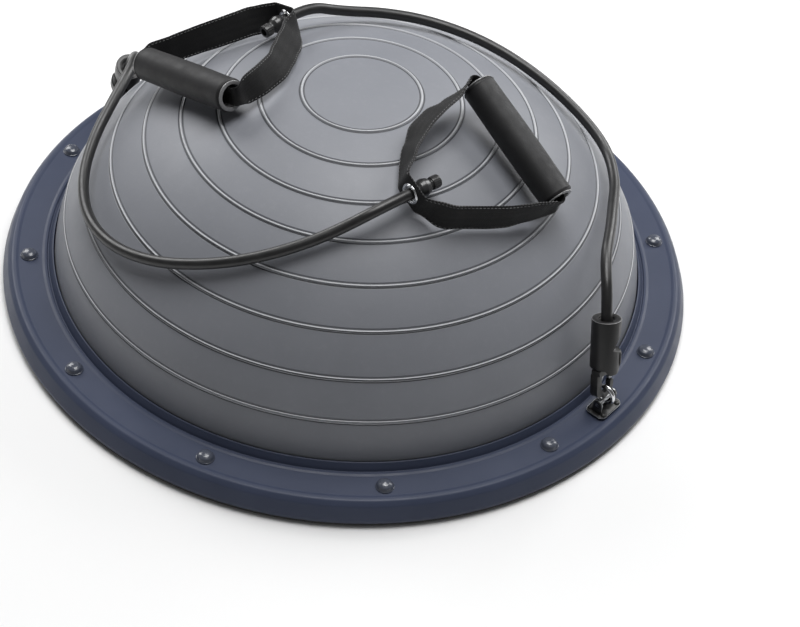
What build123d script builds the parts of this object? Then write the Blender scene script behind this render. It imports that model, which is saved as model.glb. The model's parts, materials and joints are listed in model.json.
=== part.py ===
from build123d import *

import os
from math import asin, cos, degrees, pi, radians, sin, sqrt, tan

# Balance dome trainer, millimetres. Origin: centre of the platform on the floor, +Z up.
# The user stands at -Y; azimuths are measured from +X towards +Y.

# Platform
OUTER_RADIUS = 292.5
TRAY_RADIUS = 291.0
TRAY_BOTTOM = 1.5
TRAY_PLATE = 3.0
TRAY_LIP_TOP = 4.4
TRAY_WALL_OUTER = 282.5      # upright wall inside the ring
TRAY_WALL_INNER = 280.0
FLOOR_LEVEL = 8.0            # underside of the inflated dome
HUB_RADIUS = 22.0            # well round the valve
HUB_WALL = 3.0
RIB_WALL = 2.0
TRAY_RIB_RADII = (75.0, 130.0, 185.0)
LAND_INNER = 244.0
LAND_OUTER = 263.5

# Cover ring
RING_TOP = 22.5
RING_WALL = 3.0
RING_SKIRT_BOTTOM = 4.6
SKIRT_CORNER = 7.5           # height at which the skirt starts to slope inwards
SKIRT_INNER = 289.5
RING_FACE_OUTER = 286.2
RING_FACE_FILLET = 2.2
SKIRT_FILLET = 3.0
CLAMP_INNER = 250.0          # wall that presses on the dome's flange
CLAMP_OUTER = 256.5
GROOVE_FLOOR = 21.4
GROOVE_RADIUS = 254.2
COLLAR_RADIUS = 249.0
COLLAR_TOP = 28.0

# Dome
DOME_RADIUS = 249.5
DOME_HEIGHT = 182.4          # half axis of the ellipse
DOME_CENTRE = 11.9
DOME_WALL = 3.0
DOME_FLOOR = 2.5
DOME_STEPS = 12
SKIRT_TOP = 16.0
FLANGE_RADIUS = 261.8
FLANGE_THICKNESS = 4.0
BEAD_WIDTH = 3.8
BEAD_TOP = 14.0
RIB_RADII = (48.5, 81.7, 114.5, 144.4, 174.0, 200.8, 224.2, 240.0)
RIB_SECTION = 1.6
RIB_SINK = 0.5

# Clamp screws, twelve round the ring
SCREW_COUNT = 12
SCREW_CIRCLE = 270.0
SCREW_START = -80.7
BOSS_RADIUS = 7.0
BOSS_SPLIT = 12.0
SCREW_SHAFT = 2.45
SCREW_HOLE = 2.7
SCREW_HEAD = 4.5
SCREW_HEAD_HEIGHT = 2.8
SCREW_SOCKET = 1.7
HEAD_SEAT = 18.5
SCREW_TIP = 2.6
NUT_RADIUS = 4.62            # across corners / 2
NUT_BOTTOM = 2.4
NUT_HEIGHT = 4.0
CAP_SEAT = 5.5
CAP_RADIUS = 7.4
CAP_HEIGHT = 4.8
CAP_SKIRT_BOTTOM = 19.2

# Feet
FOOT_COUNT = 8
FOOT_CIRCLE = 240.0
FOOT_RADIUS = 15.0
FOOT_TOP = 3.0

# Valve
VALVE_RADIUS = 8.0
VALVE_FLANGE = 14.0
VALVE_BOTTOM = 4.6
VALVE_TOP = 12.0
VALVE_BORE = 4.5
PLUG_STEM = 4.45
PLUG_TOP = 11.0
PLUG_HEAD = 7.0
PLUG_HEAD_BOTTOM = 2.6

# Tube anchors, one on each side of the ring
ANCHOR_RADIUS = 270.0
PLATE_LENGTH = 28.0
PLATE_WIDTH = 18.0
PLATE_CORNER = 5.0
PLATE_THICKNESS = 2.5
RIVET_PITCH = (19.0, 13.0)
RIVET_SHAFT = 1.45
RIVET_HOLE = 1.5
RIVET_HEAD = 2.2
RIVET_HEAD_HEIGHT = 1.4
RIVET_TAIL = 2.6
PIN_HEIGHT = 8.0
PIN_RADIUS = 2.0
CHEEK_INNER = 8.5
CHEEK_THICKNESS = 2.5
CHEEK_RADIUS = 4.0
LINK_RADIUS = 8.0
LINK_WIRE = 1.8
LINK_OFFSET = 4.0            # link centre above the pin
HOOK_RISE = 13.5             # hook bend centre above the pin

# Snap hook, in its own plane: x across, y towards the tube
HOOK_OUTER = 10.2
HOOK_INNER = 5.8
HOOK_HALF_THICKNESS = 2.2
HOOK_NOSE = 3.0
BRIDGE_BOTTOM = 11.0
BRIDGE_TOP = 16.0
BRIDGE_HALF_THICKNESS = 4.0
GATE_PIVOT_X = 8.0
GATE_PIVOT_Y = 12.5
GATE_HALF_WIDTH = 2.1
GATE_TIP = 3.4
GATE_PIN_RADIUS = 1.0
GATE_THICKNESS = 3.0
GATE_SLOT = (2.5, 5.2)        # inner side of the gate's slot and its height
SPRING_OUTER = 1.9
SPRING_INNER = 1.3
SPRING_START = 1.1
STEM_TOP = 22.0
STEM_RADIUS = 6.95

# Clip housing, along the hook's axis
HOUSING_BOTTOM = 16.2
HOUSING_TOP = 58.0
HOUSING_RADIUS = 12.0
HOUSING_CHAMFER = 0.9
CHAMBER_RADIUS = 7.0
CHAMBER_TOP = 29.0
MOUTH_RADIUS = 6.65
MOUTH_DEPTH = 2.0
NOTCH = ((5.6, 30.5), (14.0, 30.5), (14.0, 50.5))
THUMB_LIP = ((9.0, 16.6), (11.6, 16.8), (13.0, 21.0), (13.0, 29.4), (11.8, 30.5), (9.0, 30.5))
THUMB_LIP_HALF_WIDTH = 4.5
TUBE_END = 40.0
STOP_BOTTOM = 23.0
STOP_TOP = 28.0
STOP_RADIUS = 6.5
STOP_NECK = 4.3
STOP_GAP = 0.15              # between the stop's neck and the tube's end

# Rubber tubes
TUBE_RADIUS = 4.5
TUBE_BORE = 4.65

# Handles, in their own plane: x from grommet to grip, y along the grip
LOOP_DEPTH = 110.0
GRIP_HALF = 56.0
GRIP_RADIUS = 14.2
CORE_RADIUS = 10.7
CORE_BORE = 9.5
CORE_FLANGE = 12.6
CORE_FLANGE_THICKNESS = 1.2
STRAP_THICKNESS = 2.0
STRAP_WIDTH = 23.0
STRAP_WIDTH_IN_CORE = 17.0
STRAP_HALF_LOOP = ((0.0, 11.5), (17.0, 30.0), (62.0, 51.0), (LOOP_DEPTH, 62.8))
STRAP_RADII = (6.0, 30.0, 60.0, 4.2)
GROMMET_HOLE = 6.0
GROMMET_BARREL = 6.5
GROMMET_FLANGE = 8.5
GROMMET_HALF = 2.3
PLUG_START = 5.15
PLUG_END = 27.0

# Anchor azimuth, lean of the link towards the dome and lean of the hook along the rim, degrees
ANCHORS = {
    "right": (-37.2, 17.0, 13.5),
    "left": (144.5, 24.0, 14.0),
}

# Grommet centre, direction towards the grip and the loop's upward normal
HANDLES = {
    "front": ((44.3, -115.4, 189.0), (0.7379, 0.6749, -0.0070), (0.2768, -0.2932, 0.9151)),
    "rear": ((-67.1, 89.3, 192.5), (-0.6712, -0.7353, -0.0940), (-0.2799, 0.1339, 0.9506)),
}

# Tube routes, from inside the clip housing to the plug behind the grommet
TUBE_ROUTES = {
    "right": [
        (208.5, -146.5, 83.1), (205.8, -135.1, 112.9), (202.7, -100.6, 128.2),
        (208.1, -67.3, 127.8), (211.5, -35.1, 125.7), (215.8, 3.3, 120.4),
        (209.8, 43.8, 121.9), (184.7, 71.5, 135.7), (146.0, 97.6, 152.9),
        (101.7, 120.6, 164.1), (54.3, 132.3, 171.8), (12.7, 129.9, 177.8),
        (-23.7, 117.5, 184.2), (-52.3, 105.5, 194.6), (-70.5, 85.6, 192.0),
    ],
    "left": [
        (-208.1, 136.6, 80.8), (-203.0, 124.6, 105.6), (-195.5, 107.0, 127.5),
        (-195.5, 79.0, 135.5), (-206.5, 39.0, 128.0), (-217.8, 0.5, 116.5),
        (-220.6, -42.1, 107.9), (-209.7, -84.9, 105.7), (-184.4, -122.0, 112.1),
        (-148.9, -148.4, 124.2), (-108.3, -161.6, 138.6), (-69.0, -163.2, 151.6),
        (-31.5, -155.1, 164.0), (-4.0, -144.7, 174.8), (22.2, -135.6, 189.2),
        (48.0, -112.0, 189.0),
    ],
}

UP = Vector(0, 0, 1)


def dome_level(radius):
    """Height of the dome's outer surface at a radius."""
    return DOME_CENTRE + DOME_HEIGHT * sqrt(1 - (radius / DOME_RADIUS) ** 2)


def skirt_angle(depth):
    """Angle on the ellipse, at a depth below the skin, where the dome meets its straight skirt."""
    return asin((SKIRT_TOP - DOME_CENTRE) / (DOME_HEIGHT - depth))


def dome_profile(depth):
    """Points of the dome's curve from the skirt to the top, at a depth below the skin."""
    start = skirt_angle(depth)
    angles = [start + (pi / 2 - start) * step / DOME_STEPS for step in range(DOME_STEPS)]
    curve = [
        ((DOME_RADIUS - depth) * cos(angle), DOME_CENTRE + (DOME_HEIGHT - depth) * sin(angle))
        for angle in angles
    ]
    return curve + [(0, DOME_CENTRE + DOME_HEIGHT - depth)]


def dome_slope(depth):
    """Direction in which the dome's curve leaves the skirt."""
    start = skirt_angle(depth)
    return (-(DOME_RADIUS - depth) * sin(start), (DOME_HEIGHT - depth) * cos(start))


def anchor_frame(azimuth):
    """Plane on the ring's top face: x along the rim, y towards the dome, z up."""
    angle = radians(azimuth)
    origin = Vector(ANCHOR_RADIUS * cos(angle), ANCHOR_RADIUS * sin(angle), RING_TOP)
    return Plane(origin, x_dir=(-sin(angle), cos(angle), 0), z_dir=UP)


def link_direction(frame, lean_in):
    """Direction in which the link stands, leaning towards the dome."""
    return frame.y_dir * sin(radians(lean_in)) + UP * cos(radians(lean_in))


def pin_centre(frame):
    """Middle of the anchor's cross pin."""
    return frame.origin + UP * (PLATE_THICKNESS + PIN_HEIGHT)


def hook_frame(frame, lean_in, lean_side):
    """Plane of the snap hook: origin at its bend's centre, x across, y towards the tube."""
    stand = link_direction(frame, lean_in)
    along = stand * cos(radians(lean_side)) + frame.x_dir * sin(radians(lean_side))
    across = frame.x_dir * cos(radians(lean_side)) - stand * sin(radians(lean_side))
    return Plane(pin_centre(frame) + stand * HOOK_RISE, x_dir=across, z_dir=across.cross(along))


def axis_plane(frame, height):
    """Plane across the hook's axis at a height above its bend."""
    return Plane(frame.origin + frame.y_dir * height, x_dir=frame.x_dir, z_dir=frame.y_dir)


def handle_frame(grommet, towards_grip, normal):
    """Plane of a handle's loop."""
    x_axis = Vector(*towards_grip).normalized()
    z_axis = Vector(*normal)
    z_axis = (z_axis - x_axis * z_axis.dot(x_axis)).normalized()
    return Plane(Vector(*grommet), x_dir=x_axis, z_dir=z_axis)


def cross_plane(frame, distance):
    """Plane across a handle's grommet axis."""
    return Plane(frame.origin + frame.x_dir * distance, x_dir=frame.y_dir, z_dir=frame.x_dir)


def grip_plane(frame, distance):
    """Plane across a handle's grip axis, at a distance from the grip's middle."""
    centre = frame.origin + frame.x_dir * LOOP_DEPTH
    return Plane(centre + frame.y_dir * distance, x_dir=frame.x_dir, z_dir=frame.y_dir)


def bend_radii(points):
    """Largest tangent arc that each corner of a tube's route allows."""
    corners = []
    for before, here, after in zip(points, points[1:], points[2:]):
        run_in = Vector(*here) - Vector(*before)
        run_out = Vector(*after) - Vector(*here)
        turn = radians(run_in.get_angle(run_out))
        corners.append(0.45 * min(run_in.length, run_out.length) / tan(turn / 2))
    return corners


def strap_line():
    """Closed centre line of a handle's webbing, from the grommet round the grip and back."""
    other_half = [(x, -y) for x, y in reversed(STRAP_HALF_LOOP)]
    radii = [*STRAP_RADII, *reversed(STRAP_RADII)]
    return FilletPolyline(*STRAP_HALF_LOOP, *other_half, radius=radii, close=True)


def save(part, name):
    """Label a finished piece and write it."""
    part.label = name
    export_step(part, f"parts/{name}.step")


os.makedirs("parts", exist_ok=True)

# ---------------------------------------------------------------- platform tray
with BuildPart() as base_tray:
    with BuildSketch(Plane.XZ):
        with BuildLine():
            Polyline(
                (HUB_RADIUS, TRAY_BOTTOM), (TRAY_RADIUS, TRAY_BOTTOM), (TRAY_RADIUS, TRAY_LIP_TOP),
                (TRAY_WALL_OUTER, TRAY_LIP_TOP), (TRAY_WALL_OUTER, BOSS_SPLIT),
                (TRAY_WALL_INNER, BOSS_SPLIT), (TRAY_WALL_INNER, TRAY_BOTTOM + TRAY_PLATE),
                (LAND_OUTER, TRAY_BOTTOM + TRAY_PLATE),
                (LAND_OUTER, FLOOR_LEVEL), (LAND_INNER, FLOOR_LEVEL),
                (LAND_INNER, TRAY_BOTTOM + TRAY_PLATE),
                (HUB_RADIUS + HUB_WALL, TRAY_BOTTOM + TRAY_PLATE),
                (HUB_RADIUS + HUB_WALL, FLOOR_LEVEL), (HUB_RADIUS, FLOOR_LEVEL), close=True,
            )
        make_face()
        for radius in TRAY_RIB_RADII:
            with Locations((radius, TRAY_BOTTOM + TRAY_PLATE / 2)):
                Rectangle(RIB_WALL, FLOOR_LEVEL - TRAY_BOTTOM - TRAY_PLATE / 2,
                          align=(Align.CENTER, Align.MIN))
    revolve(axis=Axis.Z)
    with BuildSketch(Plane.XY.offset(TRAY_BOTTOM + TRAY_PLATE / 2)):
        with PolarLocations(HUB_RADIUS + 1, SCREW_COUNT, start_angle=SCREW_START):
            Rectangle(LAND_INNER - HUB_RADIUS, RIB_WALL, align=(Align.MIN, Align.CENTER))
    extrude(amount=FLOOR_LEVEL - TRAY_BOTTOM - TRAY_PLATE / 2)
    with BuildSketch(Plane.XY.offset(TRAY_BOTTOM + TRAY_PLATE / 2)):
        with PolarLocations(SCREW_CIRCLE, SCREW_COUNT, start_angle=SCREW_START):
            Circle(BOSS_RADIUS)
    extrude(amount=BOSS_SPLIT - TRAY_BOTTOM - TRAY_PLATE / 2)
    with BuildSketch(Plane.XY.offset(TRAY_BOTTOM)):
        with PolarLocations(SCREW_CIRCLE, SCREW_COUNT, start_angle=SCREW_START):
            Circle(SCREW_HOLE)
    extrude(amount=BOSS_SPLIT, mode=Mode.SUBTRACT)
    with BuildSketch(Plane.XY.offset(TRAY_BOTTOM)):
        with PolarLocations(SCREW_CIRCLE, SCREW_COUNT, start_angle=SCREW_START):
            RegularPolygon(NUT_RADIUS + 0.1, 6)
    extrude(amount=NUT_BOTTOM + NUT_HEIGHT - TRAY_BOTTOM, mode=Mode.SUBTRACT)
    with BuildSketch(Plane.XY.offset(TRAY_BOTTOM)):
        with PolarLocations(FOOT_CIRCLE, FOOT_COUNT):
            Circle(FOOT_RADIUS + 0.2)
    extrude(amount=FOOT_TOP - TRAY_BOTTOM, mode=Mode.SUBTRACT)
save(base_tray.part, "base_tray")

# ---------------------------------------------------------------- anti-slip feet
with BuildPart() as rubber_feet:
    with BuildSketch(Plane.XY):
        with PolarLocations(FOOT_CIRCLE, FOOT_COUNT):
            Circle(FOOT_RADIUS)
    extrude(amount=FOOT_TOP)
    chamfer(rubber_feet.faces().group_by(Axis.Z)[0].edges(), 0.6)
save(rubber_feet.part, "rubber_feet")

# ---------------------------------------------------------------- cover ring
with BuildPart() as cover_ring:
    with BuildSketch(Plane.XZ) as ring_section:
        with BuildLine():
            Polyline(
                (SKIRT_INNER, RING_SKIRT_BOTTOM), (OUTER_RADIUS, RING_SKIRT_BOTTOM),
                (OUTER_RADIUS, SKIRT_CORNER), (RING_FACE_OUTER, RING_TOP),
                (GROOVE_RADIUS + 1.6, RING_TOP), (GROOVE_RADIUS + 1.2, GROOVE_FLOOR),
                (GROOVE_RADIUS + 0.2, GROOVE_FLOOR), (GROOVE_RADIUS, RING_TOP),
                (COLLAR_RADIUS + 0.8, COLLAR_TOP), (COLLAR_RADIUS, COLLAR_TOP),
                (CLAMP_INNER, RING_TOP - RING_WALL), (CLAMP_INNER, FLOOR_LEVEL + FLANGE_THICKNESS),
                (CLAMP_OUTER, FLOOR_LEVEL + FLANGE_THICKNESS), (CLAMP_OUTER, RING_TOP - RING_WALL),
                (RING_FACE_OUTER - RING_WALL, RING_TOP - RING_WALL), (SKIRT_INNER, SKIRT_CORNER),
                close=True,
            )
        make_face()
        face_corner = ring_section.vertices().sort_by_distance((RING_FACE_OUTER, RING_TOP))[0]
        fillet(face_corner, RING_FACE_FILLET)
        skirt_corner = ring_section.vertices().sort_by_distance((OUTER_RADIUS, SKIRT_CORNER))[0]
        fillet(skirt_corner, SKIRT_FILLET)
    revolve(axis=Axis.Z)
    with BuildSketch(Plane.XY.offset(BOSS_SPLIT + 0.1)):
        with PolarLocations(SCREW_CIRCLE, SCREW_COUNT, start_angle=SCREW_START):
            Circle(BOSS_RADIUS)
    extrude(amount=RING_TOP - RING_WALL / 2 - BOSS_SPLIT)
    with BuildSketch(Plane.XY.offset(BOSS_SPLIT)):
        with PolarLocations(SCREW_CIRCLE, SCREW_COUNT, start_angle=SCREW_START):
            Circle(SCREW_HOLE)
    extrude(amount=RING_TOP, mode=Mode.SUBTRACT)
    with BuildSketch(Plane.XY.offset(HEAD_SEAT)):
        with PolarLocations(SCREW_CIRCLE, SCREW_COUNT, start_angle=SCREW_START):
            Circle(CAP_SEAT)
    extrude(amount=RING_TOP, mode=Mode.SUBTRACT)
    for azimuth, _, _ in ANCHORS.values():
        with BuildSketch(anchor_frame(azimuth)):
            with GridLocations(*RIVET_PITCH, 2, 2):
                Circle(RIVET_HOLE)
        extrude(amount=-2 * RING_WALL, mode=Mode.SUBTRACT)
save(cover_ring.part, "cover_ring")

# ---------------------------------------------------------------- inflated dome
with BuildPart() as dome_bladder:
    floor_top = FLOOR_LEVEL + DOME_FLOOR
    flange_top = FLOOR_LEVEL + FLANGE_THICKNESS
    with BuildSketch(Plane.XZ):
        with BuildLine():
            skin = Spline(*dome_profile(0), tangents=(dome_slope(0), (-1, 0)))
            air = Spline(*dome_profile(DOME_WALL), tangents=(dome_slope(DOME_WALL), (-1, 0)))
            Line(skin @ 1, air @ 1)
            Polyline(
                air @ 0, ((air @ 0).X, floor_top), (VALVE_RADIUS + 0.05, floor_top),
                (VALVE_RADIUS + 0.05, FLOOR_LEVEL), (FLANGE_RADIUS, FLOOR_LEVEL),
                (FLANGE_RADIUS, BEAD_TOP), (FLANGE_RADIUS - BEAD_WIDTH, BEAD_TOP),
                (FLANGE_RADIUS - BEAD_WIDTH, flange_top), ((skin @ 0).X, flange_top), skin @ 0,
            )
        make_face()
        with Locations([(radius, dome_level(radius) - RIB_SINK) for radius in RIB_RADII]):
            Circle(RIB_SECTION)
    revolve(axis=Axis.Z)
save(dome_bladder.part, "dome_bladder")

# ---------------------------------------------------------------- clamp screws, nuts and caps
with BuildPart() as clamp_screws:
    with BuildSketch(Plane.XY.offset(SCREW_TIP)):
        with PolarLocations(SCREW_CIRCLE, SCREW_COUNT, start_angle=SCREW_START):
            Circle(SCREW_SHAFT)
    extrude(amount=HEAD_SEAT - SCREW_TIP)
    with BuildSketch(Plane.XY.offset(HEAD_SEAT)):
        with PolarLocations(SCREW_CIRCLE, SCREW_COUNT, start_angle=SCREW_START):
            Circle(SCREW_HEAD)
    extrude(amount=SCREW_HEAD_HEIGHT)
    with BuildSketch(Plane.XY.offset(HEAD_SEAT + SCREW_HEAD_HEIGHT)):
        with PolarLocations(SCREW_CIRCLE, SCREW_COUNT, start_angle=SCREW_START):
            RegularPolygon(SCREW_SOCKET, 6)
    extrude(amount=-SCREW_HEAD_HEIGHT / 2, mode=Mode.SUBTRACT)
save(clamp_screws.part, "clamp_screws")

with BuildPart() as clamp_nuts:
    with BuildSketch(Plane.XY.offset(NUT_BOTTOM)):
        with PolarLocations(SCREW_CIRCLE, SCREW_COUNT, start_angle=SCREW_START):
            RegularPolygon(NUT_RADIUS, 6)
        with PolarLocations(SCREW_CIRCLE, SCREW_COUNT, start_angle=SCREW_START):
            Circle(SCREW_SHAFT + 0.05, mode=Mode.SUBTRACT)
    extrude(amount=NUT_HEIGHT)
save(clamp_nuts.part, "clamp_nuts")

with BuildPart() as single_cap:
    cap_sphere = (CAP_RADIUS ** 2 + CAP_HEIGHT ** 2) / (2 * CAP_HEIGHT)
    with BuildSketch(Plane.XZ):
        with Locations((0, RING_TOP + CAP_HEIGHT - cap_sphere)):
            Circle(cap_sphere)
        with Locations((0, RING_TOP)):
            Rectangle(CAP_RADIUS + 1, CAP_HEIGHT + 1, align=(Align.MIN, Align.MIN), mode=Mode.INTERSECT)
        with Locations((SCREW_HEAD + 0.2, CAP_SKIRT_BOTTOM)):
            Rectangle(CAP_SEAT - SCREW_HEAD - 0.25, RING_TOP - CAP_SKIRT_BOTTOM,
                      align=(Align.MIN, Align.MIN))
    revolve(axis=Axis.Z)

with BuildPart() as screw_caps:
    with PolarLocations(SCREW_CIRCLE, SCREW_COUNT, start_angle=SCREW_START):
        add(single_cap.part)
save(screw_caps.part, "screw_caps")

# ---------------------------------------------------------------- valve under the dome
with BuildPart() as valve_body:
    with BuildSketch(Plane.XY.offset(VALVE_BOTTOM)):
        Circle(VALVE_RADIUS)
    extrude(amount=VALVE_TOP - VALVE_BOTTOM)
    with BuildSketch(Plane.XY.offset(FLOOR_LEVEL - 1.6)):
        Circle(VALVE_FLANGE)
    extrude(amount=1.6)
    with BuildSketch(Plane.XY.offset(VALVE_BOTTOM)):
        Circle(VALVE_BORE)
    extrude(amount=VALVE_TOP, mode=Mode.SUBTRACT)
save(valve_body.part, "valve_body")

with BuildPart() as valve_plug:
    with BuildSketch(Plane.XY.offset(PLUG_HEAD_BOTTOM)):
        Circle(PLUG_HEAD)
        with Locations((PLUG_HEAD, 0)):
            SlotOverall(8, 5)
    extrude(amount=VALVE_BOTTOM - PLUG_HEAD_BOTTOM - 0.1)
    with BuildSketch(Plane.XY.offset(PLUG_HEAD_BOTTOM)):
        Circle(PLUG_STEM)
    extrude(amount=PLUG_TOP - PLUG_HEAD_BOTTOM)
    chamfer(valve_plug.faces().sort_by(Axis.Z)[-1].edges(), 0.8)
save(valve_plug.part, "valve_plug")

# ---------------------------------------------------------------- anchors, snap hooks and clips
for side, (azimuth, lean_in, lean_side) in ANCHORS.items():
    base = anchor_frame(azimuth)
    pin = pin_centre(base)
    stand = link_direction(base, lean_in)
    hook = hook_frame(base, lean_in, lean_side)

    with BuildPart() as anchor_plate:
        with BuildSketch(base):
            RectangleRounded(PLATE_LENGTH, PLATE_WIDTH, PLATE_CORNER)
            with GridLocations(*RIVET_PITCH, 2, 2):
                Circle(RIVET_HOLE, mode=Mode.SUBTRACT)
        extrude(amount=PLATE_THICKNESS)
        for sign in (-1, 1):
            cheek_plane = Plane(pin + base.x_dir * sign * CHEEK_INNER, x_dir=base.y_dir,
                                z_dir=base.x_dir * sign)
            with BuildSketch(cheek_plane):
                Circle(CHEEK_RADIUS)
                with Locations((0, -sign * PIN_HEIGHT / 2)):
                    Rectangle(2 * CHEEK_RADIUS, PIN_HEIGHT)
                Circle(PIN_RADIUS + 0.03, mode=Mode.SUBTRACT)
            extrude(amount=CHEEK_THICKNESS)
    save(anchor_plate.part, f"anchor_plate_{side}")

    with BuildPart() as anchor_rivets:
        with BuildSketch(base.offset(PLATE_THICKNESS)):
            with GridLocations(*RIVET_PITCH, 2, 2):
                Circle(RIVET_HEAD)
        extrude(amount=RIVET_HEAD_HEIGHT)
        chamfer(anchor_rivets.faces().group_by(Axis.Z)[-1].edges(), RIVET_HEAD_HEIGHT / 2)
        with BuildSketch(base.offset(PLATE_THICKNESS)):
            with GridLocations(*RIVET_PITCH, 2, 2):
                Circle(RIVET_SHAFT)
        extrude(amount=-PLATE_THICKNESS - RING_WALL)
        with BuildSketch(base.offset(-RING_WALL)):
            with GridLocations(*RIVET_PITCH, 2, 2):
                Circle(RIVET_TAIL)
        extrude(amount=-RIVET_HEAD_HEIGHT)
    save(anchor_rivets.part, f"anchor_rivets_{side}")

    with BuildPart() as anchor_pin:
        with BuildSketch(Plane(pin - base.x_dir * (CHEEK_INNER + CHEEK_THICKNESS), z_dir=base.x_dir)):
            Circle(PIN_RADIUS)
        extrude(amount=2 * (CHEEK_INNER + CHEEK_THICKNESS))
        with BuildSketch(Plane(pin + base.x_dir * (CHEEK_INNER + CHEEK_THICKNESS), z_dir=base.x_dir)):
            Circle(PIN_RADIUS + 1.0)
        extrude(amount=1.2)
    save(anchor_pin.part, f"anchor_pin_{side}")

    with BuildPart() as anchor_link:
        with Locations(Plane(pin + stand * LINK_OFFSET, z_dir=base.x_dir).location):
            Torus(LINK_RADIUS, LINK_WIRE)
    save(anchor_link.part, f"anchor_link_{side}")

    with BuildPart() as hook_body:
        with BuildSketch(hook):
            Circle(HOOK_OUTER)
            with Locations((0, 0)):
                Rectangle(3 * HOOK_OUTER, 3 * HOOK_OUTER, align=(Align.CENTER, Align.MAX),
                          mode=Mode.INTERSECT)
            with Locations((-HOOK_OUTER, 0)):
                Rectangle(HOOK_OUTER - HOOK_INNER, BRIDGE_BOTTOM + 1, align=(Align.MIN, Align.MIN))
            with Locations((HOOK_OUTER, 0)):
                Rectangle(HOOK_OUTER - HOOK_INNER, HOOK_NOSE, align=(Align.MAX, Align.MIN))
            Circle(HOOK_INNER, mode=Mode.SUBTRACT)
        extrude(amount=HOOK_HALF_THICKNESS, both=True)
        fillet(hook_body.edges().filter_by(GeomType.CIRCLE), 0.9)
        with BuildSketch(hook):
            with Locations((0, BRIDGE_BOTTOM)):
                Rectangle(2 * HOOK_OUTER, BRIDGE_TOP - BRIDGE_BOTTOM, align=(Align.CENTER, Align.MIN))
        extrude(amount=BRIDGE_HALF_THICKNESS, both=True)
        with BuildSketch(axis_plane(hook, BRIDGE_TOP)):
            Circle(STEM_RADIUS)
        extrude(amount=STEM_TOP - BRIDGE_TOP)
        with BuildSketch(hook):
            with Locations((GATE_SLOT[0], BRIDGE_BOTTOM - 1)):
                Rectangle(HOOK_OUTER, GATE_SLOT[1], align=(Align.MIN, Align.MIN))
        extrude(amount=HOOK_HALF_THICKNESS + 0.1, both=True, mode=Mode.SUBTRACT)
        with BuildSketch(hook):
            with Locations((GATE_PIVOT_X, GATE_PIVOT_Y)):
                Circle(GATE_PIN_RADIUS + 0.03)
        extrude(amount=BRIDGE_HALF_THICKNESS, both=True, mode=Mode.SUBTRACT)
    save(hook_body.part, f"hook_body_{side}")

    with BuildPart() as hook_gate:
        with BuildSketch(hook.offset(-GATE_HALF_WIDTH)):
            with Locations((GATE_PIVOT_X, GATE_PIVOT_Y)):
                Circle(GATE_HALF_WIDTH)
            with Locations((GATE_PIVOT_X, GATE_TIP)):
                Rectangle(2 * GATE_HALF_WIDTH, GATE_PIVOT_Y - GATE_TIP, align=(Align.CENTER, Align.MIN))
            with Locations((GATE_PIVOT_X, GATE_PIVOT_Y)):
                Circle(GATE_PIN_RADIUS + 0.05, mode=Mode.SUBTRACT)
        extrude(amount=GATE_THICKNESS)
    save(hook_gate.part, f"hook_gate_{side}")

    with BuildPart() as gate_pin:
        with BuildSketch(hook.offset(-BRIDGE_HALF_THICKNESS)):
            with Locations((GATE_PIVOT_X, GATE_PIVOT_Y)):
                Circle(GATE_PIN_RADIUS)
        extrude(amount=2 * BRIDGE_HALF_THICKNESS)
    save(gate_pin.part, f"gate_pin_{side}")

    with BuildPart() as gate_spring:
        with BuildSketch(hook.offset(SPRING_START)):
            with Locations((GATE_PIVOT_X, GATE_PIVOT_Y)):
                Circle(SPRING_OUTER)
                Circle(SPRING_INNER, mode=Mode.SUBTRACT)
        extrude(amount=1.0)
    save(gate_spring.part, f"gate_spring_{side}")

    with BuildPart() as clip_housing:
        with BuildSketch(axis_plane(hook, HOUSING_BOTTOM)):
            Circle(HOUSING_RADIUS)
        extrude(amount=HOUSING_TOP - HOUSING_BOTTOM)
        chamfer(clip_housing.edges().filter_by(GeomType.CIRCLE), HOUSING_CHAMFER)
        with BuildSketch(hook):
            with BuildLine():
                Polyline(*THUMB_LIP, close=True)
            make_face()
        extrude(amount=THUMB_LIP_HALF_WIDTH, both=True)
        with BuildSketch(hook):
            with BuildLine():
                Polyline(*NOTCH, close=True)
            make_face()
        extrude(amount=2 * HOUSING_RADIUS, both=True, mode=Mode.SUBTRACT)
        with BuildSketch(axis_plane(hook, HOUSING_BOTTOM)):
            Circle(CHAMBER_RADIUS)
        extrude(amount=CHAMBER_TOP - HOUSING_BOTTOM, mode=Mode.SUBTRACT)
        with BuildSketch(axis_plane(hook, CHAMBER_TOP)):
            Circle(TUBE_BORE)
        extrude(amount=HOUSING_TOP - CHAMBER_TOP, mode=Mode.SUBTRACT)
        with BuildSketch(axis_plane(hook, HOUSING_TOP)):
            Circle(MOUTH_RADIUS)
        extrude(amount=-MOUTH_DEPTH, mode=Mode.SUBTRACT)
    save(clip_housing.part, f"clip_housing_{side}")

    with BuildPart() as tube_stop:
        with BuildSketch(axis_plane(hook, STOP_BOTTOM)):
            Circle(STOP_RADIUS)
        extrude(amount=STOP_TOP - STOP_BOTTOM)
        fillet(tube_stop.edges(), 1.2)
        with BuildSketch(axis_plane(hook, STOP_BOTTOM + 1.0)):
            Circle(STOP_NECK)
        extrude(amount=TUBE_END - STOP_GAP - STOP_BOTTOM - 1.0)
    save(tube_stop.part, f"tube_stop_{side}")

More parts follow.
